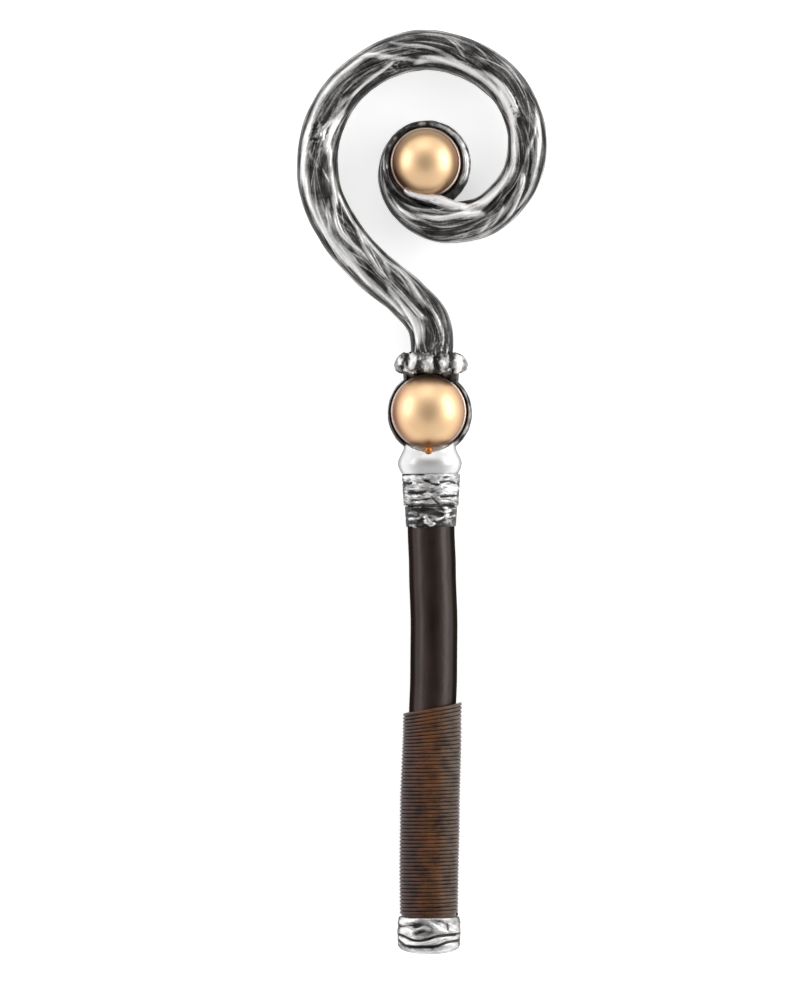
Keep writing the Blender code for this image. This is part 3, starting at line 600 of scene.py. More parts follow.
# The next values set painted light near the tube's seen edges: a thin dark line of painted shade, a
# painted highlight just inside it and a painted highlight on the flank outside it.
LINE_WIDTH = 0.045
EDGE_LINE_SHADE = 0.80            # what the dark line takes away
INSIDE_PLACE = 0.78
INSIDE_WIDTH = 0.09
INSIDE_HIGHLIGHT = 0.12
FLANK_PLACE = 0.96
FLANK_WIDTH = 0.07
FLANK_HIGHLIGHT = 0.15
UNLINED_HIGHLIGHT = 0.25         # what the flank gains where the line doesn't show
OUTER_LINE = ((0, 0.9), (10, 0.8), (13, 0.2), (18, 0.2), (19, 0.9), (35, 0.7), (38, 0.0), (44, 0.0),
              (46, 0.8), (50, 0.6), (55, 0.2), (63, 0.3), (66, 0.9), (74, 0.7), (77, 0.0),
              (83, 0.0), (86, 0.8), (92, 0.9), (97, 0.5))
INNER_LINE = ((0, 0.7), (5, 0.5), (10, 0.3), (14, 0.5), (16, 0.9), (35, 0.9), (37, 0.6), (45, 0.4),
              (48, 0.2), (51, 0.9), (76, 0.8), (80, 0.2), (97, 0.2))
OUTER_PLACE = ((0, 0.90),)
INNER_PLACE = ((0, 0.90), (46, 0.88), (50, 0.76), (60, 0.77), (63, 0.88), (97, 0.90))

seen = np.sin(column_turn)[None, :] + tilt[:, None] * np.cos(column_turn)[None, :]
faces_up = np.clip(np.cos(column_turn) * 2.0 + 0.7, 0.0, 1.0)[None, :]


def along_crook(pairs):
    """A value for each row of the sheet, from pairs of (percent of the length, value)."""
    return np.interp(row_share * 100, *zip(*pairs))


def spot(share, across, reach_along, reach_across):
    """A soft spot on the sheet: 1 in its middle, fading both ways."""
    return (bell(row_share[:, None] - share / 100, reach_along / 100)
            * bell(seen - across, reach_across))


wear_and_painted_light = (BARE_WEAR + brushed * STROKE_WEAR + halo * HALO_WEAR + swelling * SWELLING_WEAR
        + grain * GRAIN_WEAR)
for *place, amount in DABS:
    wear_and_painted_light += amount * faces_up * spot(*place)
wear_and_painted_light = np.maximum(wear_and_painted_light, LEAST_WEAR)
hairs = np.zeros_like(wear_and_painted_light)
bristles = np.random.default_rng(5)
for _ in range(HAIR_LINES):
    share, side, length, lean = (bristles.uniform(*limits) for limits in (
        HAIR_SHARES, HAIR_SIDES, HAIR_LENGTHS, HAIR_LEANS))
    if share > 0.68 or bristles.uniform() < 0.25:
        lean = -lean
    sweep = np.linspace(-0.5, 0.5, 7)
    turned = math.asin(side) + sweep * length / STRAIGHT_RADIUS * lean
    turned += sweep ** 2 * bristles.uniform(*HAIR_BENDS)
    path = np.column_stack([share + sweep * length / CROOK_LENGTH, turned])
    hair = stroke_height(path, bristles.uniform(*HAIR_HALF_WIDTHS),
                         bristles.uniform(*HAIR_STRENGTHS), HAIR_TAPER)
    hairs = np.maximum(hairs, hair * faces_up)
wear_and_painted_light = np.maximum(wear_and_painted_light, hairs) + HAIR_WEAR * hairs
# Painted light: each seen edge gets a thin dark line of painted shade, with painted highlights inside it
# and on the flank outside it.
for side, line_shows, line_place in (
        (-1.0, OUTER_LINE, OUTER_PLACE), (1.0, INNER_LINE, INNER_PLACE)):
    shows = along_crook(line_shows)
    shows *= [1.0 + 0.8 * noise_at(share * 34.0, side, 4.0) for share in row_share]
    hidden = np.clip(1.0 - shows, 0.0, 1.0)[:, None]
    from_line = seen * side - along_crook(line_place)[:, None]
    wear_and_painted_light -= EDGE_LINE_SHADE * shows[:, None] * faces_up * bell(from_line, LINE_WIDTH)
    wear_and_painted_light += INSIDE_HIGHLIGHT * faces_up * bell(seen * side - INSIDE_PLACE, INSIDE_WIDTH)
    wear_and_painted_light += ((FLANK_HIGHLIGHT + UNLINED_HIGHLIGHT * hidden) * faces_up
             * bell(seen * side - FLANK_PLACE, FLANK_WIDTH))
wear_and_painted_light += THICK_AND_HIGHLIGHT_WEAR * thick_and_highlight
thick_and_highlight = np.clip(thick_and_highlight * (0.85 + 0.6 * grain + 0.6 * swelling), 0.0, 1.0)
scrubbed = sum(spot(*place) for place in SCRUBS)
for row, column in zip(*np.nonzero(scrubbed * faces_up > 0.05)):
    turn = column_turn[column]
    spots = noise_at(STRAIGHT_RADIUS * math.sin(turn) / SCRUB_GRAIN,
                     STRAIGHT_RADIUS * math.cos(turn) / SCRUB_GRAIN,
                     row_share[row] * CROOK_LENGTH / SCRUB_GRAIN)
    wear_and_painted_light[row, column] += SCRUB_STRENGTH * spots * min(scrubbed[row, column], 1.0)
print("wear from", round(wear_and_painted_light.min(), 2), "to", round(wear_and_painted_light.max(), 2))

# %% [markdown]
# ## The crook, rolled up and bent
#
# The carved sheet is rolled into a tube, and the tube follows the crook's line. The line and
# the tube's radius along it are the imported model's own. Each point goes to its place on the
# line, and out to the side and up by its turn round the tube.

# %% Bend the tube
BASE_INSET = 0.0007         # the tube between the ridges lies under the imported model's skin

turn = column_turn[sheet_column]
reach = at_rows[2][sheet_row] - BASE_INSET + surface[sheet_row, sheet_column]
bent = np.column_stack([
    at_rows[0][sheet_row] + heading[sheet_row, 1] * reach * np.sin(turn),
    at_rows[1][sheet_row] - heading[sheet_row, 0] * reach * np.sin(turn),
    reach * np.cos(turn),
])
set_points(crook, bent)
note(crook, "wear_and_painted_light", wear_and_painted_light[sheet_row, sheet_column])
note(crook, "thick_and_highlight", thick_and_highlight[sheet_row, sheet_column])
straight = crook.data.attributes.new("grain", "FLOAT_VECTOR", "POINT")
wound = turn - np.array([twist_at(share) for share in row_share])[sheet_row]
straight.data.foreach_set("vector", np.column_stack([
    STRAIGHT_RADIUS * np.sin(wound), STRAIGHT_RADIUS * np.cos(wound),
    row_share[sheet_row] * CROOK_LENGTH]).astype(np.float32).ravel())
close_up(crook)
put_on_staff(crook, 0.0, CROOK_FOOT)
print("crook has", len(crook.data.vertices), "points")

# %% [markdown]
# ## Seats for the two domes
#
# The domes sit in round seats cut into the moulding. A seat is given as pairs of distance from
# its centre and height: it is level under the dome and rises outside it, round the curl's dome
# with a rolled edge. Points over it are lowered to it. Where the tube meets the cup from the
# right, the corner is painted black as a painted shadow.

# %% Open the curl's seat
CURL_ORB_RADIUS = 0.0194
CURL_ORB_SIDE = CURL_SIDE - 0.0006
CURL_ORB_PLACE = CURL_PLACE + 0.0009
CURL_ORB_FOOT = AXIS_HEIGHT + 0.0031
NECK_ORB_RADIUS = 0.0212
NECK_ORB_PLACE = NECK_BOSS_PLACE + 0.0008
NECK_ORB_FOOT = AXIS_HEIGHT + 0.0041
BRIM_WIDTH = 0.0010
CORNER_SIDE = 0.0150
CORNER_PLACE = 0.4332
CORNER_SLOPE = 0.30
CORNER_LENGTH = 0.0085
CORNER_WIDTH = 0.0024
CORNER_SHADOW = 1.4

curl_centre = (STAFF_SIDE + CURL_ORB_SIDE, BUTT_PLACE + CURL_ORB_PLACE)
neck_centre = (STAFF_SIDE + NECK_ORB_SHIFT + NECK_LEAN, BUTT_PLACE + NECK_ORB_PLACE)
CURL_SEAT = [(reach, AXIS_HEIGHT + rise) for reach, rise in (
    (0.0205, 0.0029), (0.0210, 0.0036), (0.0214, 0.0054), (0.0220, 0.0064), (0.0229, 0.0068),
    (0.0239, 0.0064), (0.0247, 0.0054), (0.0253, 0.0052), (0.0262, 0.0070), (0.0276, 0.0300))]
NECK_SEAT = ((0.0224, AXIS_HEIGHT + 0.0035), (0.0236, AXIS_HEIGHT + 0.0300))
lowered = make_room(crook, curl_centre, CURL_SEAT)
points = keep_off_floor(crook)
worn_with_painted_light = np.zeros(len(points), np.float32)
crook.data.attributes["wear_and_painted_light"].data.foreach_get("value", worn_with_painted_light)
worn_with_painted_light[lowered] = np.minimum(worn_with_painted_light[lowered], BARE_WEAR)
# Painted shadow: the corner where the tube meets the curl's cup from the right is darkened.
to_side = points[:, 0] - STAFF_SIDE - CORNER_SIDE
to_place = points[:, 1] - BUTT_PLACE - CORNER_PLACE + CORNER_SLOPE * to_side
worn_with_painted_light -= CORNER_SHADOW * bell(to_side, CORNER_LENGTH) * bell(to_place, CORNER_WIDTH)
note(crook, "wear_and_painted_light", worn_with_painted_light)
smooth(crook, 60.0)
print(int(lowered.sum()), "points lowered for the curl's dome")

# %% [markdown]
# ## The two cups
#
# Each cup is a flattened ball, open in front. Its rim stands up round the dome as a thin
# wall, black inside and rubbed silver on its crest. Towards one side the rim is brightened by a
# painted highlight, towards another it is darkened by painted shade, and its outside darkens
# with painted shade where it turns away. It is spun from half an outline, and then its outside
# is made a little uneven, as a hand-shaped model would be.

# %% Turn the cups
NECK_CUP_RADIUS = 0.0243
CUP_SIDES = 120
CUP_FLOOR = 0.0036          # the cup's floor, under its rim
RIM_ROUND = 0.0010
RIM_HALF_HEIGHT = 0.0012    # where the rim's outside meets the ball, over its middle
BUMP_SIZE = 0.0055
BUMP_DEPTH = 0.00032
RIM_DIP = 0.0030
RIM_WEAR = 0.24
# Painted light on the cup's rim: a painted highlight on one side, painted shade on another and on the
# outside where it turns away.
LIT_SIDE_HIGHLIGHT = 0.44             # what the rim gains on its brightest side
BUMP_WEAR = 0.45
GLOOMY_SIDE_SHADE = 0.75           # what the rim loses on its blackest side
TURNED_AWAY_SHADE = 0.55           # what the cup loses where its outside turns away


def cup(name, radius, seat, rise, centre, shift, highlight_angle, shade_angle, low_side=0.0):
    """A cup whose seat stands a little aside. After shift come the angles of the rim's painted
    highlight and of its painted shade, and the rim may dip at low_side."""
    wall = radius - seat
    outline = [(0.0, rise - CUP_FLOOR), (seat - 0.0015, rise - CUP_FLOOR),
               (seat + 0.12 * wall, rise - 0.0030)]
    for number in range(9):
        angle = math.pi * (1.0 - number / 8.0)
        outline.append((seat + wall * (0.34 + 0.20 * math.cos(angle)),
                        rise - RIM_ROUND + RIM_ROUND * math.sin(angle)))
    for number in range(1, 6):
        outline.append((seat + wall * (0.54 + 0.40 * math.sin(math.pi / 2 * number / 6)),
                        rise - RIM_ROUND - (rise - 0.0024) * (number / 6) ** 1.7))
    for number in range(1, 25):
        angle = mix(math.asin(RIM_HALF_HEIGHT / AXIS_HEIGHT), -math.pi / 2, number / 24)
        outline.append((radius * math.cos(angle) ** 0.9,
                        max(AXIS_HEIGHT * 1.08 * math.sin(angle), -AXIS_HEIGHT)))
    piece = lathe(name, outline, "Z", CUP_SIDES)
    points, normals = points_of(piece), normals_of(piece)
    push, silver_amount, lowering = [], [], []
    for point in points:
        x, y, z = point / BUMP_SIZE
        out = math.hypot(point[0], point[1])
        bumps = noise_at(x, y, z) + 0.5 * noise_at(2.3 * x, 2.3 * y, 2.3 * z)
        outside = ease((out - seat) / wall * 1.6)
        push.append(BUMP_DEPTH * bumps * outside)
        around = math.atan2(point[1], point[0])
        # Painted light: the rim is brightened towards one angle as a painted highlight and darkened
        # towards another as painted shade, and its outside darkens with painted shade where it turns away.
        highlight_side = max(math.cos(around - math.radians(highlight_angle)), 0.0) ** 1.5
        shade_side = max(math.cos(around - math.radians(shade_angle)), 0.0) ** 6.0
        on_rim = ease((out - seat - 0.05 * wall) / (0.25 * wall))
        silver_amount.append((RIM_WEAR + LIT_SIDE_HIGHLIGHT * highlight_side) * on_rim + BUMP_WEAR * bumps * outside
                      - GLOOMY_SIDE_SHADE * shade_side - TURNED_AWAY_SHADE * ease((out / radius - 0.93) / 0.06))
        below = ease((math.cos(around - math.radians(low_side)) - 0.2) / 0.5)
        lowering.append(-RIM_DIP * below * ease((point[2] + 0.002) / 0.004) if low_side else 0.0)
    inner = np.clip(1.0 - (np.hypot(points[:, 0], points[:, 1]) - seat) / (0.8 * wall), 0.0, 1.0)
    points = points + normals * np.array(push)[:, None]
    points[:, 2] += lowering
    points[:, :2] += inner[:, None] * np.array(shift)
    set_points(piece, points)
    note(piece, "wear_and_painted_light", silver_amount)
    put_on_staff(piece, *centre)
    keep_off_floor(piece)
    smooth(piece, 50.0)
    print(name, len(piece.data.vertices), "points")
    return piece


curl_cup = cup("curl_cup", CURL_BOSS_RADIUS, CURL_ORB_RADIUS + BRIM_WIDTH + 0.0003, rise=0.0058,
               centre=(CURL_SIDE, CURL_PLACE),
               shift=(CURL_ORB_SIDE - CURL_SIDE, CURL_ORB_PLACE - CURL_PLACE),
               highlight_angle=4.0, shade_angle=-58.0, low_side=-95.0)
neck_cup = cup("neck_cup", NECK_CUP_RADIUS, NECK_ORB_RADIUS + BRIM_WIDTH + 0.0002, rise=0.0062,
               centre=(NECK_LEAN, NECK_BOSS_PLACE),
               shift=(NECK_ORB_SHIFT, NECK_ORB_PLACE - NECK_BOSS_PLACE),
               highlight_angle=-22.0, shade_angle=150.0)

# %% [markdown]
# ## The lip over the curl's dome
#
# The crook's inner ridge doesn't stop at the cup: it runs on as a thick white lip, passes over
# the dome's lower edge and ends in a rounded tip. A ball is a good start for it, because it is
# closed and round at both ends. It is drawn out along the ridge's path, whose points give side
# and place from the staff's axis and butt, height over the axis, and half width, in millimetres.

# %% Draw out the lip
LIP_PATH = ((-15.6, 439.2, 5.8, 1.2), (-13.8, 437.8, 6.4, 2.0), (-10.5, 436.4, 7.2, 2.3),
            (-6.0, 435.0, 7.7, 2.4), (-0.5, 434.0, 7.8, 2.7), (5.0, 432.6, 7.8, 3.2),
            (11.0, 430.6, 7.4, 2.8), (16.6, 429.3, 6.9, 2.4), (22.4, 429.0, 5.6, 2.0),
            (28.0, 430.5, 4.4, 1.4))
LIP_HALF_HEIGHT = 0.0033
LIP_FULLNESS = 0.35         # below 1, the lip's ends are blunter than a ball's

lip = new_ball("curl_lip", 1.0, 32, 96)
ball = points_of(lip)
lip_line = through(LIP_PATH, 12) / 1000.0
lip_heading = np.gradient(lip_line[:, :2], axis=0)
lip_heading /= np.linalg.norm(lip_heading, axis=1)[:, None]
step_here = np.clip((ball[:, 2] + 1.0) / 2.0, 0.0, 1.0) * (len(lip_line) - 1)
at_step = [np.interp(step_here, range(len(lip_line)), column)
           for column in (*lip_line.T, *lip_heading.T)]
side, place, height, half_width, ahead_side, ahead_place = at_step
girth = np.hypot(ball[:, 0], ball[:, 1])
fuller = np.maximum(girth, 0.001) ** (LIP_FULLNESS - 1.0)
lip_across = ball[:, 0] * fuller
lip_up = ball[:, 1] * fuller
furrows = np.array([noise_at(5.0 * x, 5.0 * y, 0.10 * step)
                    for x, y, step in zip(lip_across, lip_up, step_here)])
across = lip_across * half_width * (1.0 + 0.10 * furrows)
up = lip_up * LIP_HALF_HEIGHT * (1.0 + 0.12 * furrows)
set_points(lip, np.column_stack([side + ahead_place * across, place - ahead_side * across,
                                 height + up]))
lip_lit = np.clip(lip_up, -1.0, 1.0)
note(lip, "wear_and_painted_light", 0.45 + 0.55 * lip_lit + 0.45 * furrows)
note(lip, "thick_and_highlight", np.clip(0.4 + 0.6 * lip_lit, 0.0, 1.0))
close_up(lip)
put_on_staff(lip, 0.0, 0.0)
smooth(lip, 60.0)
print("lip", len(lip.data.vertices), "points")

# %% [markdown]
# ## The golden domes
#
# A dome is a little flatter than half a ball, with a thin rolled brim where it meets its cup.
# The lower one has a small drop hanging from its edge. Both are smooth, so a fine spin is
# enough, and the drop starts as a ball that is stretched and narrowed.

# %% Turn the domes
DOME_SIDES = 112
CURL_ORB_HEIGHT = 0.0178
NECK_ORB_HEIGHT = 0.0190
NECK_DOME_GAP = 0.0002      # between the neck's dome and its cup
RIM_SHADE_FROM = 0.68           # the share of the dome's radius where the painted rim shade starts
RIM_SHADE_WIDTH = 0.24
DROP_PLACE = NECK_ORB_PLACE - NECK_ORB_RADIUS - 0.0020
DROP_HEIGHT = 0.0325
DROP_RADIUS = 0.0024
DROP_STRETCH = 1.45
DROP_TIP = 0.0033           # from the drop's middle down to its tip


def dome(name, radius, height, side, place, foot):
    """A dome over a rolled brim."""
    brim = radius + BRIM_WIDTH
    outline = [(0.0, 0.0), (brim - 0.0003, 0.0), (brim, 0.0004), (brim - 0.0001, 0.0009),
               (brim - 0.0005, 0.0014), (brim - 0.0010, 0.0016), (radius - 0.0003, 0.0015)]
    for number in range(1, 27):
        angle = mix(0.075, math.pi / 2, number / 26)
        outline.append((radius * math.cos(angle) if number < 26 else 0.0,
                        0.0012 + height * math.sin(angle)))
    piece = lathe(name, outline, "Z", DOME_SIDES)
    points = points_of(piece)
    out = np.hypot(points[:, 0], points[:, 1])
    note(piece, "brim", np.clip((out - radius + 0.0007) / 0.0004, 0.0, 1.0))
    # Painted shade and reflection: the dome darkens and browns towards its foot, more on its sides and
    # most on its left.
    sideways = np.abs(points[:, 0]) / np.maximum(out, 0.001)
    leftwards = np.clip(-points[:, 0] / radius - 0.25 * points[:, 1] / radius, 0.0, 1.0) ** 2
    rim_shading = np.clip((out / radius - RIM_SHADE_FROM) / RIM_SHADE_WIDTH, 0.0, 1.0) ** 1.3
    note(piece, "rim_shade", rim_shading * (0.42 + 0.18 * sideways ** 2 + 0.40 * leftwards))
    put_on_staff(piece, side, place, foot)
    return piece


curl_orb = dome("curl_dome", CURL_ORB_RADIUS, CURL_ORB_HEIGHT, CURL_ORB_SIDE, CURL_ORB_PLACE,
                CURL_ORB_FOOT)
smooth(curl_orb)
neck_orb = dome("neck_dome", NECK_ORB_RADIUS - NECK_DOME_GAP, NECK_ORB_HEIGHT,
                NECK_ORB_SHIFT + NECK_LEAN, NECK_ORB_PLACE, NECK_ORB_FOOT)

drop = new_ball("drop", DROP_RADIUS, 28, 20)
pick(drop)
bpy.ops.object.mode_set(mode="EDIT")
bpy.ops.mesh.select_all(action="SELECT")
bpy.ops.transform.resize(value=(1.0, DROP_STRETCH, 1.0))
bpy.ops.object.mode_set(mode="OBJECT")
points = points_of(drop)
pointed = 1.0 - 0.35 * np.clip(-points[:, 1] / DROP_TIP, -0.6, 1.0)
points[:, 0] *= pointed
points[:, 2] *= pointed
set_points(drop, points)
# Painted shade: the drop darkens towards its tip.
note(drop, "brim", -1.0 - np.clip(-points[:, 1] / 0.0030, 0.0, 1.0))
put_on_staff(drop, NECK_ORB_SHIFT + NECK_LEAN, DROP_PLACE, DROP_HEIGHT)
neck_orb = join("neck_dome", [neck_orb, drop])
smooth(neck_orb)
print("domes", len(curl_orb.data.vertices), "and", len(neck_orb.data.vertices), "points")

# %% [markdown]
# ## The pale ring
#
# Under the neck's cup sits a smooth ring that swells like a turned pad and narrows upwards.
# It has no grain and no black wash. The dome and its drop overlap it, so the same kind of seat
# is opened in it.

# %% Turn the pale ring
RING_FOOT = 0.0162
RING_SWELL = 0.0184
WAIST_RADIUS = 0.0150
SWELL_SHARE = 0.38          # the share of the ring's length where it is thickest
WAIST_TUCK = 0.006          # how far the ring goes on inside the cup

ring_outline = [(BORE_RADIUS, RING_START)]
for number in range(41):
    share = number / 40
    if share < SWELL_SHARE:
        radius = mix(RING_FOOT, RING_SWELL, math.sin(math.pi / 2 * share / SWELL_SHARE))
    else:
        radius = mix(RING_SWELL, WAIST_RADIUS, ease((share - SWELL_SHARE) / (1.0 - SWELL_SHARE)))
    ring_outline.append((radius, mix(RING_START, WAIST_PLACE, share)))
for number in range(1, 13):
    ring_outline.append((WAIST_RADIUS, WAIST_PLACE + WAIST_TUCK * number / 12))
ring_outline.append((BORE_RADIUS, WAIST_PLACE + WAIST_TUCK))
ring_outline.append((BORE_RADIUS, RING_START))
pale_ring = lathe("pale_ring", ring_outline, "Y", 128)
put_on_staff(pale_ring, NECK_LEAN, 0.0)
make_room(pale_ring, neck_centre, NECK_SEAT)
points = keep_off_floor(pale_ring)
to_side = points[:, 0] - STAFF_SIDE - NECK_LEAN
across = np.abs(to_side) / np.hypot(to_side, points[:, 2] - AXIS_HEIGHT)
along = (points[:, 1] - BUTT_PLACE - RING_START) / (WAIST_PLACE - RING_START)
# Painted reflection and shade: a soft grey band across the ring's front is a painted reflection, and its
# seen edges are painted dark as shade.
painted_reflection_band = np.interp(along, (0.0, 0.20, 0.45, 0.62, 0.75), (0.60, 0.70, 0.90, 0.15, 0.0))
painted_reflection_band *= np.clip((0.78 - across) / 0.42, 0.0, 1.0)
note(pale_ring, "shade", np.maximum(painted_reflection_band, np.clip((across - 0.86) / 0.08, 0.0, 1.6)))
smooth(pale_ring, 50.0)
print("pale ring", len(pale_ring.data.vertices), "points")

# %% [markdown]
# ## The collar of beads
#
# Above the neck's cup a collar of fat, uneven beads runs round the staff; they have grown into
# one another, with black gaps left between some. One bead starts as a ball, is stretched to a
# drop, and its copies are turned round the staff, each with its own size, lean and dents. In
# front, listed folds press in the gaps and raise the white facets: each is a path of
# (side, place) in millimetres from the staff's axis and its butt, a half width, a height (below
# 0 for a gap) and how much silver it adds or takes.

# %% Model the beads
COLLAR_BEADS = 12
COLLAR_TURN = math.radians(8.0)
COLLAR_DEPTH_SHARE = 0.85
BEAD_CENTRE_RADIUS = 0.0160
BEAD_RISE = 0.0066          # from the collar's start up to the beads' middles
BEAD_RADIUS = 0.0053
CORE_RADIUS = 0.0160
CORE_TOP = COLLAR_START + 0.0115
COLLAR_FOLDS = (
    (((-18.0, 342.0), (-18.0, 339.0)), 1.5, 0.2, 0.6),
    (((-11.5, 345.0), (-10.0, 341.5), (-11.0, 337.0)), 1.9, 0.5, 0.8),
    (((-6.0, 344.0), (-6.5, 341.5)), 0.9, 0.2, 0.25),
    (((2.0, 345.0), (-1.0, 340.0), (-2.5, 336.5)), 1.4, 0.4, 0.45),
    (((7.0, 342.0), (6.0, 338.5)), 1.7, 0.2, 0.15),
    (((16.0, 342.5), (15.5, 338.5), (15.0, 335.0)), 2.9, 0.5, 0.85),
    (((-15.0, 335.5), (-12.0, 333.0), (-9.0, 333.5)), 1.3, 0.3, 0.6),
    (((6.0, 335.0), (8.0, 333.0)), 1.2, 0.3, 0.6),
    (((10.5, 335.0), (11.0, 332.5)), 1.5, 0.3, 0.6),
    (((-14.5, 345.0), (-14.0, 338.5)), 1.1, -0.5, -0.45),
    (((-6.5, 339.5), (-6.5, 336.0)), 2.4, -0.5, -0.30),
    (((2.5, 340.0), (3.5, 336.0)), 1.9, -0.6, -0.40),
    (((11.5, 345.0), (11.0, 337.5)), 1.3, -0.6, -0.50),
    (((-17.5, 337.5), (-16.5, 336.5)), 1.2, -0.3, -0.5),
)


def fold_marks(points, folds):
    """The height and the silver that folds give to a piece's front, at each of its points."""
    lift, shine = np.zeros(len(points)), np.zeros(len(points))
    for path, half_width, height, silver in folds:
        fold_line = through(path, 10) / 1000.0
        away = np.min(np.hypot(points[:, :1] - fold_line[None, :, 0],
                               points[:, 1:2] - fold_line[None, :, 1]), axis=1)
        fold = crest(away, half_width / 1000.0)
        lift += height / 1000.0 * fold
        shine += silver * fold
    front = np.clip(points[:, 2] / 0.0050, 0.0, 1.0)
    return lift * front, shine * front


beads = []
for number in range(COLLAR_BEADS):
    bead = new_ball(f"bead_{number}", BEAD_RADIUS, 40, 30)
    points = points_of(bead)
    lean = 0.22 * math.sin(2.7 * number + 0.6)
    long = 1.19 + 0.07 * math.sin(1.9 * number)
    wide = 1.14 + 0.12 * math.sin(3.1 * number + 1.0)
    swap = points[:, [0, 2, 1]] * (wide, long, 1.02)
    narrowing = 1.0 - 0.22 * np.clip(swap[:, 1] / 0.0075, -1.0, 1.0)
    swap[:, 0] = swap[:, 0] * narrowing + lean * swap[:, 1]
    swap[:, 2] = swap[:, 2] * narrowing - 0.20 * np.clip(swap[:, 1], 0.0, None)
    dents, silver_amount = [], []
    for point in swap:
        x, y, z = point / 0.0022
        bumps = noise_at(x + 7.0 * number, y * 0.6, z)
        creases = 1.0 - abs(noise_at(1.7 * x, 0.35 * y + 3.0 * number, 1.7 * z)) * 2.0
        dents.append(1.0 + 0.10 * bumps - 0.10 * max(creases, 0.0))
        height = (point[2] + 0.001) / 0.006
        silver_amount.append(0.20 + 0.50 * height + 0.30 * bumps - 0.25 * max(creases, 0.0))
    swap *= np.array(dents)[:, None]
    angle = COLLAR_TURN + math.tau * (number + 0.5) / COLLAR_BEADS
    radial = swap[:, 2] + BEAD_CENTRE_RADIUS
    sideways = radial * math.sin(angle) + swap[:, 0] * math.cos(angle)
    up = (radial * math.cos(angle) - swap[:, 0] * math.sin(angle)) * COLLAR_DEPTH_SHARE
    placed = np.column_stack([sideways, swap[:, 1], up])
    in_front = placed + (0.0, COLLAR_START + BEAD_RISE, 0.0)
    lift, shine = fold_marks(in_front, COLLAR_FOLDS)
    set_points(bead, placed * (1.0 + lift / np.hypot(placed[:, 0], placed[:, 2]))[:, None])
    note(bead, "wear_and_painted_light", np.array(silver_amount) - 0.10 + shine)
    note(bead, "thick_and_highlight", np.clip(shine, 0.0, 0.8))
    beads.append(bead)
collar = join("beaded_collar", beads)
put_on_staff(collar, 0.0, COLLAR_START + BEAD_RISE)

core_outline = [(0.0, NECK_BOSS_PLACE), (WAIST_RADIUS, NECK_BOSS_PLACE)]
for number in range(9):
    core_outline.append((CORE_RADIUS - 0.0006 * abs(number - 4) / 4,
                         mix(NECK_BOSS_PLACE + 0.012, COLLAR_START + 0.010, number / 8)))
core_outline.append((0.0, CORE_TOP))
core = lathe("collar_core", core_outline, "Y", 96)
note(core, "wear_and_painted_light", np.full(len(core.data.vertices), 0.02))
put_on_staff(core, 0.0, 0.0)
make_room(core, neck_centre, NECK_SEAT)
collar = join("beaded_collar", [collar, core])
close_up(collar)
keep_off_floor(collar)
smooth(collar, 60.0)
print("collar", len(collar.data.vertices), "points")

# %% [markdown]
# ## The crumpled ferrule
#
# Two tiers of what looks like beaten sheet wrap the top of the shaft. Their creases run round
# the staff, sag, fork and fade, and the lower edge is torn. Each tier is spun with many fine
# rows, and its creases are pushed in by noise that is stretched round the staff.
#
# Noise alone gives no likeness, so the folds that show on the front are listed one by one. Each
# is a path of (side, place) in millimetres from the staff's axis and its butt, a half width, a
# height (below 0 for a crease) and how much silver it adds or takes.

# %% The ferrule's folds
UPPER_FOLDS = (
    (((-16.0, 272.5), (-12.0, 274.5), (-8.0, 274.0), (-4.5, 272.0)), 1.5, 0.45, 0.35),
    (((-14.0, 268.0), (-9.0, 270.0), (-4.5, 269.0)), 1.2, 0.35, 0.15),
    (((-14.0, 266.5), (-9.0, 267.0), (-3.5, 267.5)), 0.9, 0.35, 0.15),
    (((-14.5, 261.0), (-10.0, 262.0), (-5.0, 263.0), (-0.5, 263.5)), 1.5, 0.5, 0.35),
    (((4.5, 268.0), (9.0, 267.5), (14.5, 268.0)), 2.6, 0.55, 0.45),
    (((5.5, 264.5), (10.5, 265.0), (14.0, 264.5)), 1.0, 0.3, 0.3),
    (((4.5, 261.0), (10.5, 260.0), (14.5, 261.5)), 1.1, 0.4, 0.25),
    (((5.0, 273.5), (8.5, 275.0), (13.0, 274.0)), 1.1, 0.45, 0.35),
    (((-4.0, 273.0), (-0.5, 275.0), (2.5, 274.0)), 0.9, 0.4, 0.25),
    (((-2.0, 266.5), (0.5, 268.0), (2.5, 270.5)), 0.9, 0.3, 0.1),
    (((-12.5, 259.0), (-7.5, 259.0), (-3.0, 260.0)), 0.8, 0.3, 0.15),
    (((-17.5, 275.5), (-12.0, 275.5), (-4.5, 275.5)), 0.9, -0.7, -0.75),
    (((-15.5, 270.5), (-12.5, 270.0), (-11.5, 270.5)), 0.9, -0.6, -0.65),
    (((-13.0, 265.0), (-9.0, 265.0), (-3.5, 265.5)), 0.8, -0.7, -0.8),
    (((-4.5, 272.5), (-1.0, 271.0), (1.0, 270.0), (4.0, 269.5)), 1.0, -0.6, -0.65),
    (((5.5, 271.0), (10.5, 271.5), (13.5, 270.5)), 0.9, -0.6, -0.7),
    (((5.5, 262.5), (10.5, 263.0), (16.0, 263.5)), 0.7, -0.6, -0.7),
    (((-9.0, 260.5), (-4.5, 261.0), (-1.0, 261.5)), 0.6, -0.4, -0.45),
    (((0.0, 263.0), (1.5, 261.0), (4.5, 258.5)), 0.9, -0.5, -0.55),
    (((-14.0, 257.5), (-7.5, 257.5), (0.0, 258.0), (5.5, 258.0), (14.5, 257.5)), 0.9, -0.7, -0.7),
)
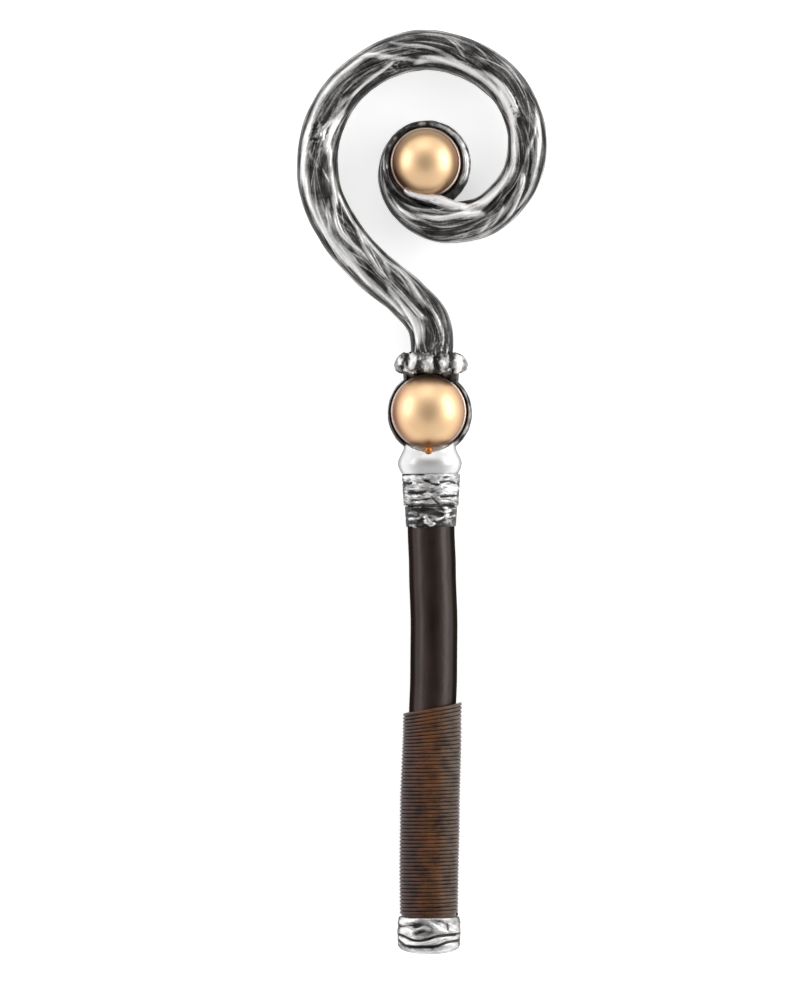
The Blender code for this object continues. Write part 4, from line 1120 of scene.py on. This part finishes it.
LOWER_FOLDS = (
    (((8.5, 256.0), (9.5, 254.0), (8.5, 250.5)), 2.2, 0.7, 0.95),
    (((-3.0, 250.5), (-2.0, 248.5), (0.5, 246.5)), 1.9, 0.7, 0.85),
    (((3.0, 249.0), (6.5, 249.5)), 0.9, 0.5, 0.75),
    (((-12.5, 249.5), (-10.0, 250.5), (-7.0, 250.5)), 1.0, 0.45, 0.5),
    (((-12.5, 253.0), (-9.0, 253.5), (-5.0, 253.0)), 0.8, 0.3, 0.2),
    (((10.5, 255.0), (13.0, 255.5)), 0.8, 0.3, 0.3),
    (((11.0, 249.5), (14.0, 250.5)), 0.9, 0.4, 0.45),
    (((-12.0, 246.5), (-7.0, 245.5), (-2.5, 246.0)), 0.8, 0.3, 0.2),
    (((-4.5, 255.5), (0.5, 254.0), (5.5, 251.5)), 2.0, -0.6, -0.6),
    (((-12.5, 255.0), (-7.5, 255.5)), 0.9, -0.3, -0.2),
    (((-12.0, 248.0), (-7.0, 248.0)), 0.9, -0.4, -0.35),
)
# The torn lower edge, from its left end to its right
LOWER_EDGE = ((-15.0, 246.0), (-7.5, 245.0), (-0.5, 245.5), (2.5, 246.5), (8.0, 248.0), (15.0, 249.0))

# %% [markdown]
# A crease lies where stretched noise passes through zero: there the sheet folds in. Each tier
# has broad creases and fine ones. Behind, where no folds were listed, the broad ones
# show at full depth. The flanks and the lower tier are darker.

# %% Beat the ferrule
FINE_ROW = 0.00036          # the length of one row of the tiers' mesh
TIER_SIDES = 150
CREASE_PITCH = 0.0044
FINE_CREASE_PITCH = 0.0016
LUMP_DEPTH = 0.00030
CREASE_DEPTH = 0.00060
FINE_LUMP_DEPTH = 0.00012
FINE_CREASE_DEPTH = 0.00020


def creased(point, seed, pitch, stretch):
    """How deep a crease lies at a point, 0 on a fold and 1 in a crease, and its lumps."""
    angle = math.atan2(point[0], point[2])
    x, z = math.sin(angle) * stretch, math.cos(angle) * stretch
    warp = noise_at(x * 0.8, z * 0.8, seed) * 1.3
    lines = abs(noise_at(x, z, point[1] / pitch + warp + seed * 3.0))
    return max(0.0, 1.0 - lines * 6.0), noise_at(1.6 * x, 1.6 * z, point[1] / pitch + seed)


def painted_edge_shade(angle):
    """0 on the front, rising to 1 at the edges of a round piece as it is seen, for painted shade there."""
    return ease((abs(math.sin(angle)) - 0.88) / 0.10)


def tier(name, start, length, foot_radius, top_radius, seed, ragged, gloom, folds):
    """One tier of beaten sheet with a thin ragged lower edge."""
    rows = round(length / FINE_ROW)
    top = start + length + 0.0003
    outline = [(BORE_RADIUS, start), (foot_radius - 0.0004, start)]
    outline += [(mix(foot_radius, top_radius, number / rows), start + length * number / rows)
                for number in range(rows + 1)]
    outline += [(top_radius - 0.0008, top), (BORE_RADIUS, top), (BORE_RADIUS, start)]
    piece = lathe(name, outline, "Y", TIER_SIDES)
    points = points_of(piece)
    out = np.hypot(points[:, 0], points[:, 2])
    lift, shine = fold_marks(points, folds)
    plain = np.clip(0.35 - points[:, 2] / 0.0080, 0.35, 1.0)
    wear_and_shade_here = np.zeros(len(points))
    for index, point in enumerate(points):
        if out[index] < BORE_RADIUS + 0.0003:
            continue
        depth, lumps = creased(point, seed, CREASE_PITCH, 1.15)
        fine_depth, fine_lumps = creased(point, seed + 5.0, FINE_CREASE_PITCH, 2.2)
        push = (lift[index] + (LUMP_DEPTH * lumps - CREASE_DEPTH * depth) * plain[index]
                + FINE_LUMP_DEPTH * fine_lumps - FINE_CREASE_DEPTH * fine_depth)
        share = (point[1] - start) / length
        angle = math.atan2(point[0], point[2])
        x, z = math.sin(angle), math.cos(angle)
        tear = noise_at(1.8 * x, 1.8 * z, seed) + 0.5 * noise_at(4.5 * x, 4.5 * z, seed)
        points[index, ::2] *= 1.0 + push / out[index]
        points[index, 1] += ragged * (1.0 - ease(share * 2.5)) * tear
        if ragged:
            edge = np.interp(point[0] * 1000, *zip(*LOWER_EDGE)) / 1000
            rise = (edge - start) * max(math.cos(angle), 0.0) ** 0.4
            points[index, 1] += rise * (1.0 - share)
        # Painted shade: the tier darkens towards its edges as they are seen.
        flank = painted_edge_shade(angle)
        wear_and_shade_here[index] = (0.60 + shine[index] * (1.0 + 1.1 * fine_lumps)
                            + (0.35 * lumps - 0.60 * depth) * plain[index]
                            + 0.40 * fine_lumps - 0.30 * fine_depth - gloom - 0.35 * flank)
    set_points(piece, points)
    note(piece, "wear_and_painted_light", wear_and_shade_here)
    return piece


lower_tier = tier("lower_tier", HEAD_START, TIER_JOINT - HEAD_START - 0.0002, foot_radius=0.0144,
                  top_radius=0.0152, seed=4.0, ragged=0.0010, gloom=0.30, folds=LOWER_FOLDS)
upper_tier = tier("upper_tier", TIER_JOINT + 0.0004, RING_START - TIER_JOINT - 0.0008,
                  foot_radius=0.0158, top_radius=0.0169, seed=9.0, ragged=0.0, gloom=0.0,
                  folds=UPPER_FOLDS)
ferrule = join("ferrule", [upper_tier, lower_tier])
close_up(ferrule)
put_on_staff(ferrule, 0.0, 0.0)
smooth(ferrule, 60.0)
print("ferrule", len(ferrule.data.vertices), "points")

# %% [markdown]
# ## The shaft
#
# The shaft is a plain tube with a very slight bow, as long thin mouldings get. It runs from
# inside the butt cap, through the grip, up into the ferrule. It is spun straight, and its
# points are then shifted to follow the bow.

# %% Turn and bow the shaft
def follow_bow(piece):
    """Shifts a piece that was made on a straight axis onto the shaft's bow."""
    points = points_of(piece)
    points[:, 0] += [axis_side(place) for place in points[:, 1]]
    set_points(piece, points)


SHAFT_ROWS = 90
SHAFT_FOOT = 0.0073         # inside the cap
SHAFT_TOP = HEAD_START + 0.0197
shaft_outline = [(0.0, SHAFT_FOOT)]
shaft_outline += [(SHAFT_RADIUS, mix(SHAFT_FOOT, SHAFT_TOP, number / SHAFT_ROWS))
                  for number in range(SHAFT_ROWS + 1)]
shaft_outline.append((0.0, SHAFT_TOP))
shaft = lathe("shaft_tube", shaft_outline, "Y", 72)
follow_bow(shaft)
put_on_staff(shaft, 0.0, 0.0)
smooth(shaft)
print("shaft", len(shaft.data.vertices), "points")

# %% [markdown]
# ## The cord grip
#
# A thin waxed cord is wound tightly round the shaft, 56 turns side by side. The Screw modifier
# winds a small circle into one long cord. Towards the top the winder let the turns climb to
# one side, so the last ones lie aslant.

# %% Wind the cord
CORD_TURNS = 56
CORD_PITCH = BINDING_LENGTH / CORD_TURNS
CORD_RADIUS = CORD_PITCH * 0.50
GRIP_RADIUS = 0.0168
CORD_LINE_RADIUS = GRIP_RADIUS - CORD_RADIUS * 0.96
CLIMB_FROM = 0.75           # the share of the grip's length where the turns start to climb
GRIP_SWELL = 0.0005
UNDERLAY_TOP = BINDING_START + BINDING_LENGTH * 0.985


def climb(place):
    """How far a turn has climbed on the shaft's right side."""
    share = (place - BINDING_START) / BINDING_LENGTH
    return BINDING_TILT * ease((share - CLIMB_FROM) / (1.0 - CLIMB_FROM))


let_go()
bpy.ops.mesh.primitive_circle_add(vertices=9, radius=CORD_RADIUS, location=(CORD_LINE_RADIUS, 0.0, 0.0))
grip = bpy.context.object
grip.name = "cord_grip"
bpy.ops.object.transform_apply(location=True)
winding = grip.modifiers.new("winding", "SCREW")
winding.axis = "Y"
winding.angle = math.tau
winding.iterations = CORD_TURNS - 1
winding.steps = winding.render_steps = 48
winding.screw_offset = CORD_PITCH
pick(grip)
bpy.ops.object.modifier_apply(modifier="winding")
close_up(grip)
points = points_of(grip)
points[:, 1] += BINDING_START + CORD_RADIUS
out = np.hypot(points[:, 0], points[:, 2])
share = np.clip((points[:, 1] - BINDING_START) / BINDING_LENGTH, 0.0, 1.0)
swell = 1.0 + GRIP_SWELL * np.sin(math.pi * share) / out
points[:, 1] += [climb(place) for place in points[:, 1]] * points[:, 0] / out
points[:, 0] *= swell
points[:, 2] *= swell
set_points(grip, points)
underlay_outline = [(BORE_RADIUS, BINDING_START)]
underlay_outline += [(CORD_LINE_RADIUS, BINDING_START + BINDING_LENGTH * number / 20)
                     for number in range(20)]
underlay_outline += [(CORD_LINE_RADIUS, UNDERLAY_TOP), (BORE_RADIUS, UNDERLAY_TOP),
                     (BORE_RADIUS, BINDING_START)]
underlay = lathe("underlay", underlay_outline, "Y", 48)
points = points_of(underlay)
out = np.hypot(points[:, 0], points[:, 2])
points[:, 1] += [climb(place) for place in points[:, 1]] * points[:, 0] / out
set_points(underlay, points)
grip = join("cord_grip", [grip, underlay])
follow_bow(grip)
put_on_staff(grip, 0.0, 0.0)
smooth(grip, 60.0)
print("cord", CORD_TURNS, "turns,", len(grip.data.vertices), "points")

# %% [markdown]
# ## The butt cap
#
# The cap looks like soft sheet pushed over the end: it is rounded below, and two deep creases
# hang across it in slack curves. Its front has its own folds, in the same form as the
# ferrule's, and on its back three plain creases run round.

# %% Turn and crease the cap
CAP_RADIUS = 0.0181
CAP_FOLDS = (
    (((-16.0, 18.5), (-11.5, 19.5), (-6.5, 21.0)), 1.6, 0.45, 0.4),
    (((-15.0, 14.0), (-12.5, 14.0), (-10.0, 12.5)), 1.5, 0.4, 0.3),
    (((-16.5, 9.5), (-13.0, 7.5), (-6.5, 7.0), (-0.5, 7.5), (4.5, 9.0), (9.0, 10.0), (15.0, 10.0)),
     1.1, 0.6, 0.4),
    (((1.5, 18.0), (6.0, 15.0), (10.0, 13.5)), 1.4, 0.4, 0.3),
    (((11.5, 18.0), (15.0, 16.0)), 0.8, 0.35, 0.35),
    (((12.0, 14.5), (15.0, 14.0)), 0.7, 0.3, 0.35),
    (((-1.0, 22.0), (5.0, 22.0)), 0.6, 0.3, 0.25),
    (((-6.5, 15.0), (-2.5, 16.5), (1.0, 15.5)), 0.6, 0.25, 0.15),
    (((-6.5, 12.0), (-2.5, 12.5), (1.0, 12.5)), 0.5, 0.2, 0.12),
    (((-11.0, 4.0), (-2.5, 3.0), (7.0, 3.5)), 1.0, 0.1, -0.15),
    (((-17.0, 8.0), (-14.0, 5.5), (-8.0, 5.0), (-1.0, 5.0), (4.5, 5.5), (10.5, 7.5), (17.5, 8.0)),
     0.95, -0.9, -1.0),
    (((-17.0, 11.5), (-14.0, 10.5), (-10.0, 9.0), (-5.5, 8.5), (-0.5, 9.5), (3.5, 11.0), (9.0, 11.5),
      (17.5, 12.0)), 0.85, -0.8, -0.9),
    (((-8.0, 17.0), (-3.0, 18.0), (1.0, 16.5), (1.0, 13.5), (-3.5, 14.0), (-7.5, 12.5)),
     1.9, -0.25, -0.42),
    (((-16.5, 16.0), (-11.0, 17.0), (-7.0, 17.0)), 0.5, -0.4, -0.45),
    (((10.5, 18.0), (11.0, 14.5)), 0.8, -0.3, -0.5),
    (((1.0, 20.5), (7.0, 19.5), (9.0, 18.0)), 0.9, -0.15, -0.2),
    (((11.5, 11.5), (15.0, 11.5)), 0.7, -0.3, -0.35),
)
BACK_CREASES = (0.0058, 0.0105, 0.0163)
BACK_CREASE_WIDTH = 0.00085
CAP_ROWS = 56
CAP_SIDES = 160
CAP_ROUND = 0.0062          # the length of the rounded end
CAP_FLOOR = 0.0070          # the end's thickness, where the bore starts
CAP_INSET = 0.0001
CAP_LUMP_DEPTH = 0.0004
CRUMPLE_DEPTH = 0.0003
BACK_CREASE_DEPTH = 0.0008

cap_outline = [(0.0, 0.0)]
for number in range(1, 17):
    angle = math.pi / 2 * number / 16
    cap_outline.append((CAP_RADIUS * math.sin(angle) ** 0.62, CAP_ROUND * (1.0 - math.cos(angle))))
for number in range(1, CAP_ROWS + 1):
    share = number / CAP_ROWS
    cap_outline.append((CAP_RADIUS - 0.0006 * ease((share - 0.8) / 0.2),
                        mix(CAP_ROUND, CAP_LENGTH - 0.0005, share)))
cap_outline += [(0.0170, CAP_LENGTH), (BORE_RADIUS, CAP_LENGTH), (BORE_RADIUS, CAP_FLOOR),
                (0.0, CAP_FLOOR)]
cap = lathe("crumpled_cap", cap_outline, "Y", CAP_SIDES)
points = points_of(cap)
out = np.hypot(points[:, 0], points[:, 2])
around = np.arctan2(points[:, 0], points[:, 2])
lift, shine = fold_marks(points, CAP_FOLDS)
behind = np.clip(0.30 - points[:, 2] / 0.0080, 0.0, 1.0)
cap_wear_and_shade = np.zeros(len(points))
for index, point in enumerate(points):
    if out[index] < BORE_RADIUS + 0.0004 and point[1] > 0.004:
        continue
    angle = around[index]
    x, z = 1.1 * math.sin(angle), 1.1 * math.cos(angle)
    depth = 0.0
    for crease in BACK_CREASES:
        crease_place = crease + 0.0012 * math.sin(2.0 * angle + crease * 900.0)
        depth += bell(point[1] - crease_place, BACK_CREASE_WIDTH) * behind[index]
    lumps = noise_at(1.7 * x, 1.7 * z, point[1] / 0.0050)
    crumple = abs(noise_at(3.4 * x, 3.4 * z, point[1] / 0.0021))
    body = ease(out[index] / CAP_RADIUS * 1.4 - 0.4)
    push = (CAP_LUMP_DEPTH * lumps + CRUMPLE_DEPTH * crumple - BACK_CREASE_DEPTH * depth
            + lift[index] - CAP_INSET) * body
    points[index, ::2] *= 1.0 + push / max(out[index], 0.0005)
    # Painted shade: the cap darkens towards its edges as they are seen.
    flank = painted_edge_shade(angle)
    cap_wear_and_shade[index] = (0.54 + 0.30 * lumps + 0.2 * crumple - 0.8 * depth
                       + shine[index] * (0.85 + 0.9 * crumple) - 0.40 * flank)
set_points(cap, points)
note(cap, "wear_and_painted_light", cap_wear_and_shade)
put_on_staff(cap, axis_side(0.0), 0.0)
keep_off_floor(cap)
smooth(cap, 60.0)
print("cap", len(cap.data.vertices), "points")

# %% [markdown]
# ## Mixing paint
#
# A material is a small calculation. The class below wraps one socket, so that values can be
# written as plain sums, and each sum adds its own Math node. Every other node comes from one
# method that takes the node's type, its settings, and what goes into its sockets. A colour is
# written as its shares of red, green and blue, and is always opaque.

# %% A small language for paint
class Value:
    """One output socket that can be added, subtracted and multiplied like a number."""

    def __init__(self, paint, socket):
        self.paint = paint
        self.socket = socket

    def sum(self, operation, first, second):
        return self.paint.node("ShaderNodeMath", {"operation": operation}, {0: first, 1: second})

    def __add__(self, other):
        return self.sum("ADD", self, other)

    def __sub__(self, other):
        return self.sum("SUBTRACT", self, other)

    def __mul__(self, other):
        return self.sum("MULTIPLY", self, other)

    def __radd__(self, other):
        return self.sum("ADD", other, self)

    def __rsub__(self, other):
        return self.sum("SUBTRACT", other, self)

    def __rmul__(self, other):
        return self.sum("MULTIPLY", other, self)


class Paint:
    """A material whose nodes are written as expressions."""

    def __init__(self, name):
        self.material = bpy.data.materials.new(name)
        self.material.use_nodes = True
        self.tree = self.material.node_tree
        self.shader = self.tree.nodes["Principled BSDF"]

    def node(self, kind, settings, sockets, output=0):
        """Adds a node: settings first, then its sockets, and gives one of its outputs."""
        node = self.tree.nodes.new(kind)
        for name, value in settings.items():
            setattr(node, name, value)
        for key, value in sockets.items():
            self.feed(self.find(node, key), value)
        return Value(self, node.outputs[output])

    def find(self, node, key):
        if isinstance(key, int):
            return node.inputs[key]
        return next(socket for socket in node.inputs if key in (socket.identifier, socket.name))

    def feed(self, socket, value):
        if isinstance(value, Value):
            self.tree.links.new(value.socket, socket)
        else:
            socket.default_value = (*value, 1.0) if socket.type == "RGBA" else value

    def finish(self, **sockets):
        """Sets the shader's own sockets; a name's underscores stand for spaces."""
        for key, value in sockets.items():
            self.feed(self.find(self.shader, key.replace("_", " ")), value)
        return self.material

    def attribute(self, name, output=2):
        """A number kept on each point; output 1 gives a kept vector instead."""
        return self.node("ShaderNodeAttribute", {"attribute_name": name}, {}, output)

    def place(self):
        """Where the point is, in the piece's own frame."""
        return self.node("ShaderNodeTexCoord", {}, {}, 3)

    def stretched(self, vector, scale):
        return self.node("ShaderNodeMapping", {}, {"Vector": vector, "Scale": scale})

    def speckle(self, vector, scale, detail, roughness):
        return self.node("ShaderNodeTexNoise", {}, {"Vector": vector, "Scale": scale,
                                                    "Detail": detail, "Roughness": roughness})

    def between(self, value, low, high):
        """0 below low, 1 above high, with a soft step between them."""
        return self.node("ShaderNodeMapRange", {"interpolation_type": "SMOOTHSTEP"},
                         {"Value": value, "From Min": low, "From Max": high})

    def blend(self, share, first, second):
        return self.node("ShaderNodeMix", {"data_type": "RGBA"},
                         {"Factor_Float": share, "A_Color": first, "B_Color": second}, 2)

    def bump(self, height, depth):
        return self.node("ShaderNodeBump", {}, {"Height": height, "Distance": depth, "Strength": 1.0})


def coat(piece, material):
    """Gives a piece one paint alone."""
    piece.data.materials.clear()
    piece.data.materials.append(material)
    print(material.name, "on", piece.name)


# %% [markdown]
# ## Silver over black
#
# The dry brush leaves silver where the surface is high. Each piece carries a number for that,
# its wear, from the carving; the same number also carries painted highlights and painted shade.
# Streaks along the grain, broader patches and fine specks break the paint up, and where it lies
# thick or carries a painted highlight it is whiter and less like metal.

# %% Mix the antiqued silver
def antiqued_silver(name, source, stretch, grain_depth):
    """Dry-brushed silver. Its streaks follow the crook's own grain, or the piece's own frame."""
    paint = Paint(name)
    here = paint.attribute("grain", 1) if source == "grain" else paint.place()
    streaks = paint.speckle(paint.stretched(here, stretch), 1.0, 3.0, 0.55)
    patches = paint.speckle(here, 90.0, 3.0, 0.6)
    specks = paint.speckle(here, 800.0, 2.0, 0.6)
    worn_with_painted_light = (paint.attribute("wear_and_painted_light") + 0.80 * (streaks - 0.5) + 0.50 * (patches - 0.5)
            + 0.35 * (specks - 0.5))
    silver = paint.between(worn_with_painted_light, 0.04, 0.96)
    thick_and_highlight = paint.attribute("thick_and_highlight")
    shade = paint.blend(streaks, (0.52, 0.51, 0.51), (0.94, 0.93, 0.93))
    # Thick paint and painted highlights both whiten the silver here.
    shade = paint.blend(thick_and_highlight * 0.8, shade, (0.95, 0.94, 0.93))
    ground = paint.blend(paint.between(streaks * 0.5 + patches * 0.5, 0.38, 0.68),
                         (0.004, 0.004, 0.003), (0.085, 0.080, 0.075))
    height = streaks + silver * 0.12
    return paint.finish(Base_Color=paint.blend(silver, ground, shade),
                        Metallic=silver * (0.95 - thick_and_highlight * 0.65),
                        Roughness=0.45 - silver * 0.09 + 0.16 * (streaks - 0.5),
                        Specular_IOR_Level=0.15, Normal=paint.bump(height, grain_depth))


CROOK_STRETCH = (620.0, 620.0, 36.0)
RIM_STRETCH = (260.0, 160.0, 160.0)
FOIL_STRETCH = (90.0, 420.0, 90.0)
rim_silver = antiqued_silver("silver_rim", "object", RIM_STRETCH, grain_depth=0.00025)
foil_silver = antiqued_silver("silver_foil", "object", FOIL_STRETCH, grain_depth=0.00022)
coat(crook, antiqued_silver("silver_grain", "grain", CROOK_STRETCH, grain_depth=0.00035))
for piece in (curl_cup, neck_cup, lip, collar):
    coat(piece, rim_silver)
for piece in (ferrule, cap):
    coat(piece, foil_silver)

# %% [markdown]
# ## Gold, pale silver, lacquer and cord
#
# The domes are sprayed in satin gold, with the faintest flow marks, and towards the foot they
# are painted darker and browner as painted shade and reflection. The ring is a pale pearly
# silver, with a grey band of painted reflection in its middle and painted shade at its edges.
# The shaft is dark brown lacquer with slow cloudy changes, and the cord is waxed brown. Both
# browns change a little from left to right as painted light: the cord is lighter on its right as
# a painted highlight and darker on its left as painted shade, and the lacquer carries painted
# tints of its reflections.

# %% Mix the other paints
def satin_gold(name):
    """Satin gold with a paler brim and painted brown shade and reflection towards the dome's foot;
    the drop, whose brim value is below 0, is browner, and darker towards its tip as painted shade."""
    paint = Paint(name)
    here = paint.place()
    flow = paint.speckle(here, 70.0, 3.0, 0.55)
    grit = paint.speckle(here, 2600.0, 2.0, 0.5)
    brim = paint.attribute("brim")
    tone = paint.blend(flow, (0.87, 0.575, 0.32), (0.93, 0.65, 0.39))
    tone = paint.blend(paint.attribute("rim_shade"), tone, (0.16, 0.045, 0.020))
    tone = paint.blend(paint.between(brim, 0.0, 1.0), tone, (0.78, 0.62, 0.53))
    tone = paint.blend(paint.between(brim, 0.0, -1.0), tone, (0.40, 0.16, 0.05))
    # Painted shade: the drop's tip is painted dark brown.
    tone = paint.blend(paint.between(brim, -1.1, -1.9), tone, (0.08, 0.028, 0.012))
    return paint.finish(Base_Color=tone, Metallic=0.95, Roughness=0.41 + 0.08 * (flow - 0.5),
                        Normal=paint.bump(grit * 0.25 + flow, 0.00003))


def pale_silver(name):
    """Pearly silver, greyer in the ring's band of painted reflection and darkest at its edges with painted
    shade.
    """
    paint = Paint(name)
    here = paint.place()
    flow = paint.speckle(here, 120.0, 3.0, 0.55)
    grit = paint.speckle(here, 2200.0, 2.0, 0.5)
    tone = paint.blend(flow, (0.70, 0.70, 0.71), (0.80, 0.80, 0.80))
    shade = paint.attribute("shade")
    tone = paint.blend(paint.between(shade, 0.0, 1.0), tone, (0.44, 0.435, 0.43))
    tone = paint.blend(paint.between(shade, 0.8, 1.6), tone, (0.13, 0.13, 0.13))
    return paint.finish(Base_Color=tone, Metallic=0.30, Roughness=0.32 + 0.08 * (flow - 0.5),
                        Normal=paint.bump(grit * 0.3 + flow, 0.00004))


def brown_lacquer(name):
    """Dark lacquer, redder on its left side and greener on its right as painted tints of its reflections,
    and duller on its flanks.
    """
    paint = Paint(name)
    here = paint.place()
    clouds = paint.speckle(paint.stretched(here, (90.0, 26.0, 90.0)), 1.0, 4.0, 0.6)
    grit = paint.speckle(here, 900.0, 3.0, 0.6)
    side = paint.attribute("side")
    hue = paint.blend(side, (0.022, 0.008, 0.006), (0.011, 0.009, 0.006))
    tone = paint.blend(paint.between(clouds, 0.30, 0.70), (0.004, 0.0015, 0.001), hue)
    flank = paint.between(paint.attribute("flank"), 0.68, 0.90)
    return paint.finish(Base_Color=tone, Roughness=0.32 + 0.62 * flank + 0.24 * (clouds - 0.5)
                        + 0.08 * (grit - 0.5), Metallic=flank * 0.9, Specular_IOR_Level=0.46,
                        Specular_Tint=(0.95, 0.80, 0.74),
                        Normal=paint.bump(clouds + grit * 0.08, 0.00040))


def waxed_cord(name):
    """Waxed cord: darker and reddish at the left as painted shade, orange brown in the middle, lighter and
    greyer at the right as a painted highlight.
    """
    paint = Paint(name)
    here = paint.place()
    fibres = paint.speckle(paint.stretched(here, (160.0, 2600.0, 160.0)), 1.0, 3.0, 0.6)
    blotches = paint.speckle(here, 140.0, 3.0, 0.6)
    side = paint.attribute("side")
    left, right = paint.between(side, 0.05, 0.50), paint.between(side, 0.50, 0.90)
    hue = paint.blend(left, (0.060, 0.020, 0.016), (0.155, 0.058, 0.018))
    hue = paint.blend(right, hue, (0.120, 0.080, 0.055))
    waxed = paint.between(blotches * 0.5 + fibres * 0.5, 0.30, 0.68)
    tone = paint.blend(waxed, (0.010, 0.004, 0.003), hue)
    return paint.finish(Base_Color=tone, Roughness=0.34 + 0.20 * (fibres - 0.5),
                        Specular_IOR_Level=0.30, Normal=paint.bump(fibres, 0.00010))


# Painted light: across the staff's breadth the cord gets lighter to the right as a painted highlight and
# darker to the left as painted shade, and the lacquer takes painted reflection tints.
STAFF_BREADTH = 0.034       # over which the brown paints change from left to right
for piece in (shaft, grip):
    points = points_of(piece)
    note(piece, "side", (points[:, 0] - STAFF_SIDE) / STAFF_BREADTH + 0.5)
    note(piece, "flank", np.abs(normals_of(piece)[:, 0]))
coat(curl_orb, satin_gold("gold_dome"))
coat(neck_orb, satin_gold("gold_neck"))
coat(pale_ring, pale_silver("pale_silver"))
coat(shaft, brown_lacquer("lacquer"))
coat(grip, waxed_cord("waxed_cord"))

# %% [markdown]
# ## Riding on the frame
#
# The staff has no moving parts, so every piece rides on the one body. Each piece names the
# solid that it stands for, and the finish that it takes.

# %% Tie the pieces to the frame
PIECES = (
    (crook, "crook_head", "antiqued_silver"),
    (curl_cup, "crook_head", "antiqued_silver"),
    (neck_cup, "crook_head", "antiqued_silver"),
    (lip, "crook_head", "antiqued_silver"),
    (collar, "crook_head", "antiqued_silver"),
    (pale_ring, "crook_head", "antiqued_silver"),
    (ferrule, "crook_head", "antiqued_silver"),
    (curl_orb, "curl_orb", "satin_gold"),
    (neck_orb, "neck_orb", "satin_gold"),
    (shaft, "shaft", "dark_lacquer"),
    (grip, "grip_binding", "brown_cord"),
    (cap, "butt_cap", "antiqued_silver"),
)
for piece, node_name, slot_name in PIECES:
    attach(piece, "root")
    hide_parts(node_name)
    piece.data.calc_loop_triangles()
    print(piece.name, len(piece.data.loop_triangles), "triangles")

# %% [markdown]
# ## Floor, light and camera
#
# The staff lies on a pale floor under a camera that looks straight down. Two long soft boxes
# stand low at the left and right, which puts one bright band on each side of every round form
# and leaves the middle calm. A weaker panel stands beyond the crook. The sky is pale, and dim
# straight overhead, so that the surfaces that face the camera don't wash out.

# %% Set the stage
let_go()
bpy.ops.mesh.primitive_plane_add(size=6.0, location=(0.0, 0.0, 0.0))
floor = bpy.context.object
floor.name = "studio_floor"
floor_paint = Paint("floor_paper")
floor.data.materials.append(floor_paint.finish(Base_Color=(0.90, 0.90, 0.90), Roughness=0.9,
                                               Specular_IOR_Level=0.1,
                                               Emission_Color=(1.0, 1.0, 1.0),
                                               Emission_Strength=0.55))


LIT_PLACE = (0.0, 0.05, 0.02)


def soft_box(name, place, width, height, power):
    """A soft panel that faces the staff."""
    bpy.ops.object.light_add(type="AREA", location=place)
    lamp = bpy.context.object
    lamp.name = name
    lamp.data.shape = "RECTANGLE"
    lamp.data.size, lamp.data.size_y = width, height
    lamp.data.energy = power
    towards = Vector(LIT_PLACE) - Vector(place)
    lamp.rotation_euler = towards.to_track_quat("-Z", "Y").to_euler()


soft_box("right_box", (1.30, 0.36, 0.68), width=1.40, height=0.70, power=10.5)
soft_box("left_box", (-1.32, 0.40, 0.66), width=1.20, height=0.55, power=6.0)
soft_box("far_panel", (-0.15, 1.40, 0.80), width=1.10, height=0.70, power=2.6)

world = bpy.context.scene.world or bpy.data.worlds.new("world")
bpy.context.scene.world = world
world.use_nodes = True
sky = world.node_tree
direction = sky.nodes.new("ShaderNodeTexCoord")
height = sky.nodes.new("ShaderNodeSeparateXYZ")
sky.links.new(direction.outputs["Generated"], height.inputs[0])
dimming = sky.nodes.new("ShaderNodeMapRange")
dimming.interpolation_type = "SMOOTHSTEP"
sky.links.new(height.outputs["Z"], dimming.inputs["Value"])
for socket, value in (("From Min", 0.76), ("From Max", 0.99), ("To Min", 0.86), ("To Max", 0.20)):
    dimming.inputs[socket].default_value = value
sky.links.new(dimming.outputs[0], sky.nodes["Background"].inputs["Strength"])
sky.nodes["Background"].inputs["Color"].default_value = (1.0, 1.0, 1.0, 1.0)
bpy.context.scene.view_settings.view_transform = "Standard"
print("three soft boxes and a pale sky")

# %% [markdown]
# The camera hangs high over the staff's middle, so that the staff is seen with hardly any
# perspective. Its lens is worked out from the picture's height and the size of a pixel.

# %% Place the camera
PIXEL = 0.000575            # metres on the staff's middle plane for each pixel of the picture
PICTURE_HEIGHT = 981        # in pixels
SENSOR = 36.0
bpy.ops.object.camera_add(location=(CAMERA_SIDE, CAMERA_PLACE, AXIS_HEIGHT + CAMERA_REACH),
                          rotation=(0.0, 0.0, 0.0))
camera = bpy.context.object
camera.data.sensor_width = SENSOR
camera.data.lens = SENSOR * CAMERA_REACH / (PICTURE_HEIGHT * PIXEL)
camera.data.clip_end = 50.0
bpy.context.scene.camera = camera
print("lens", round(camera.data.lens, 1), "mm")
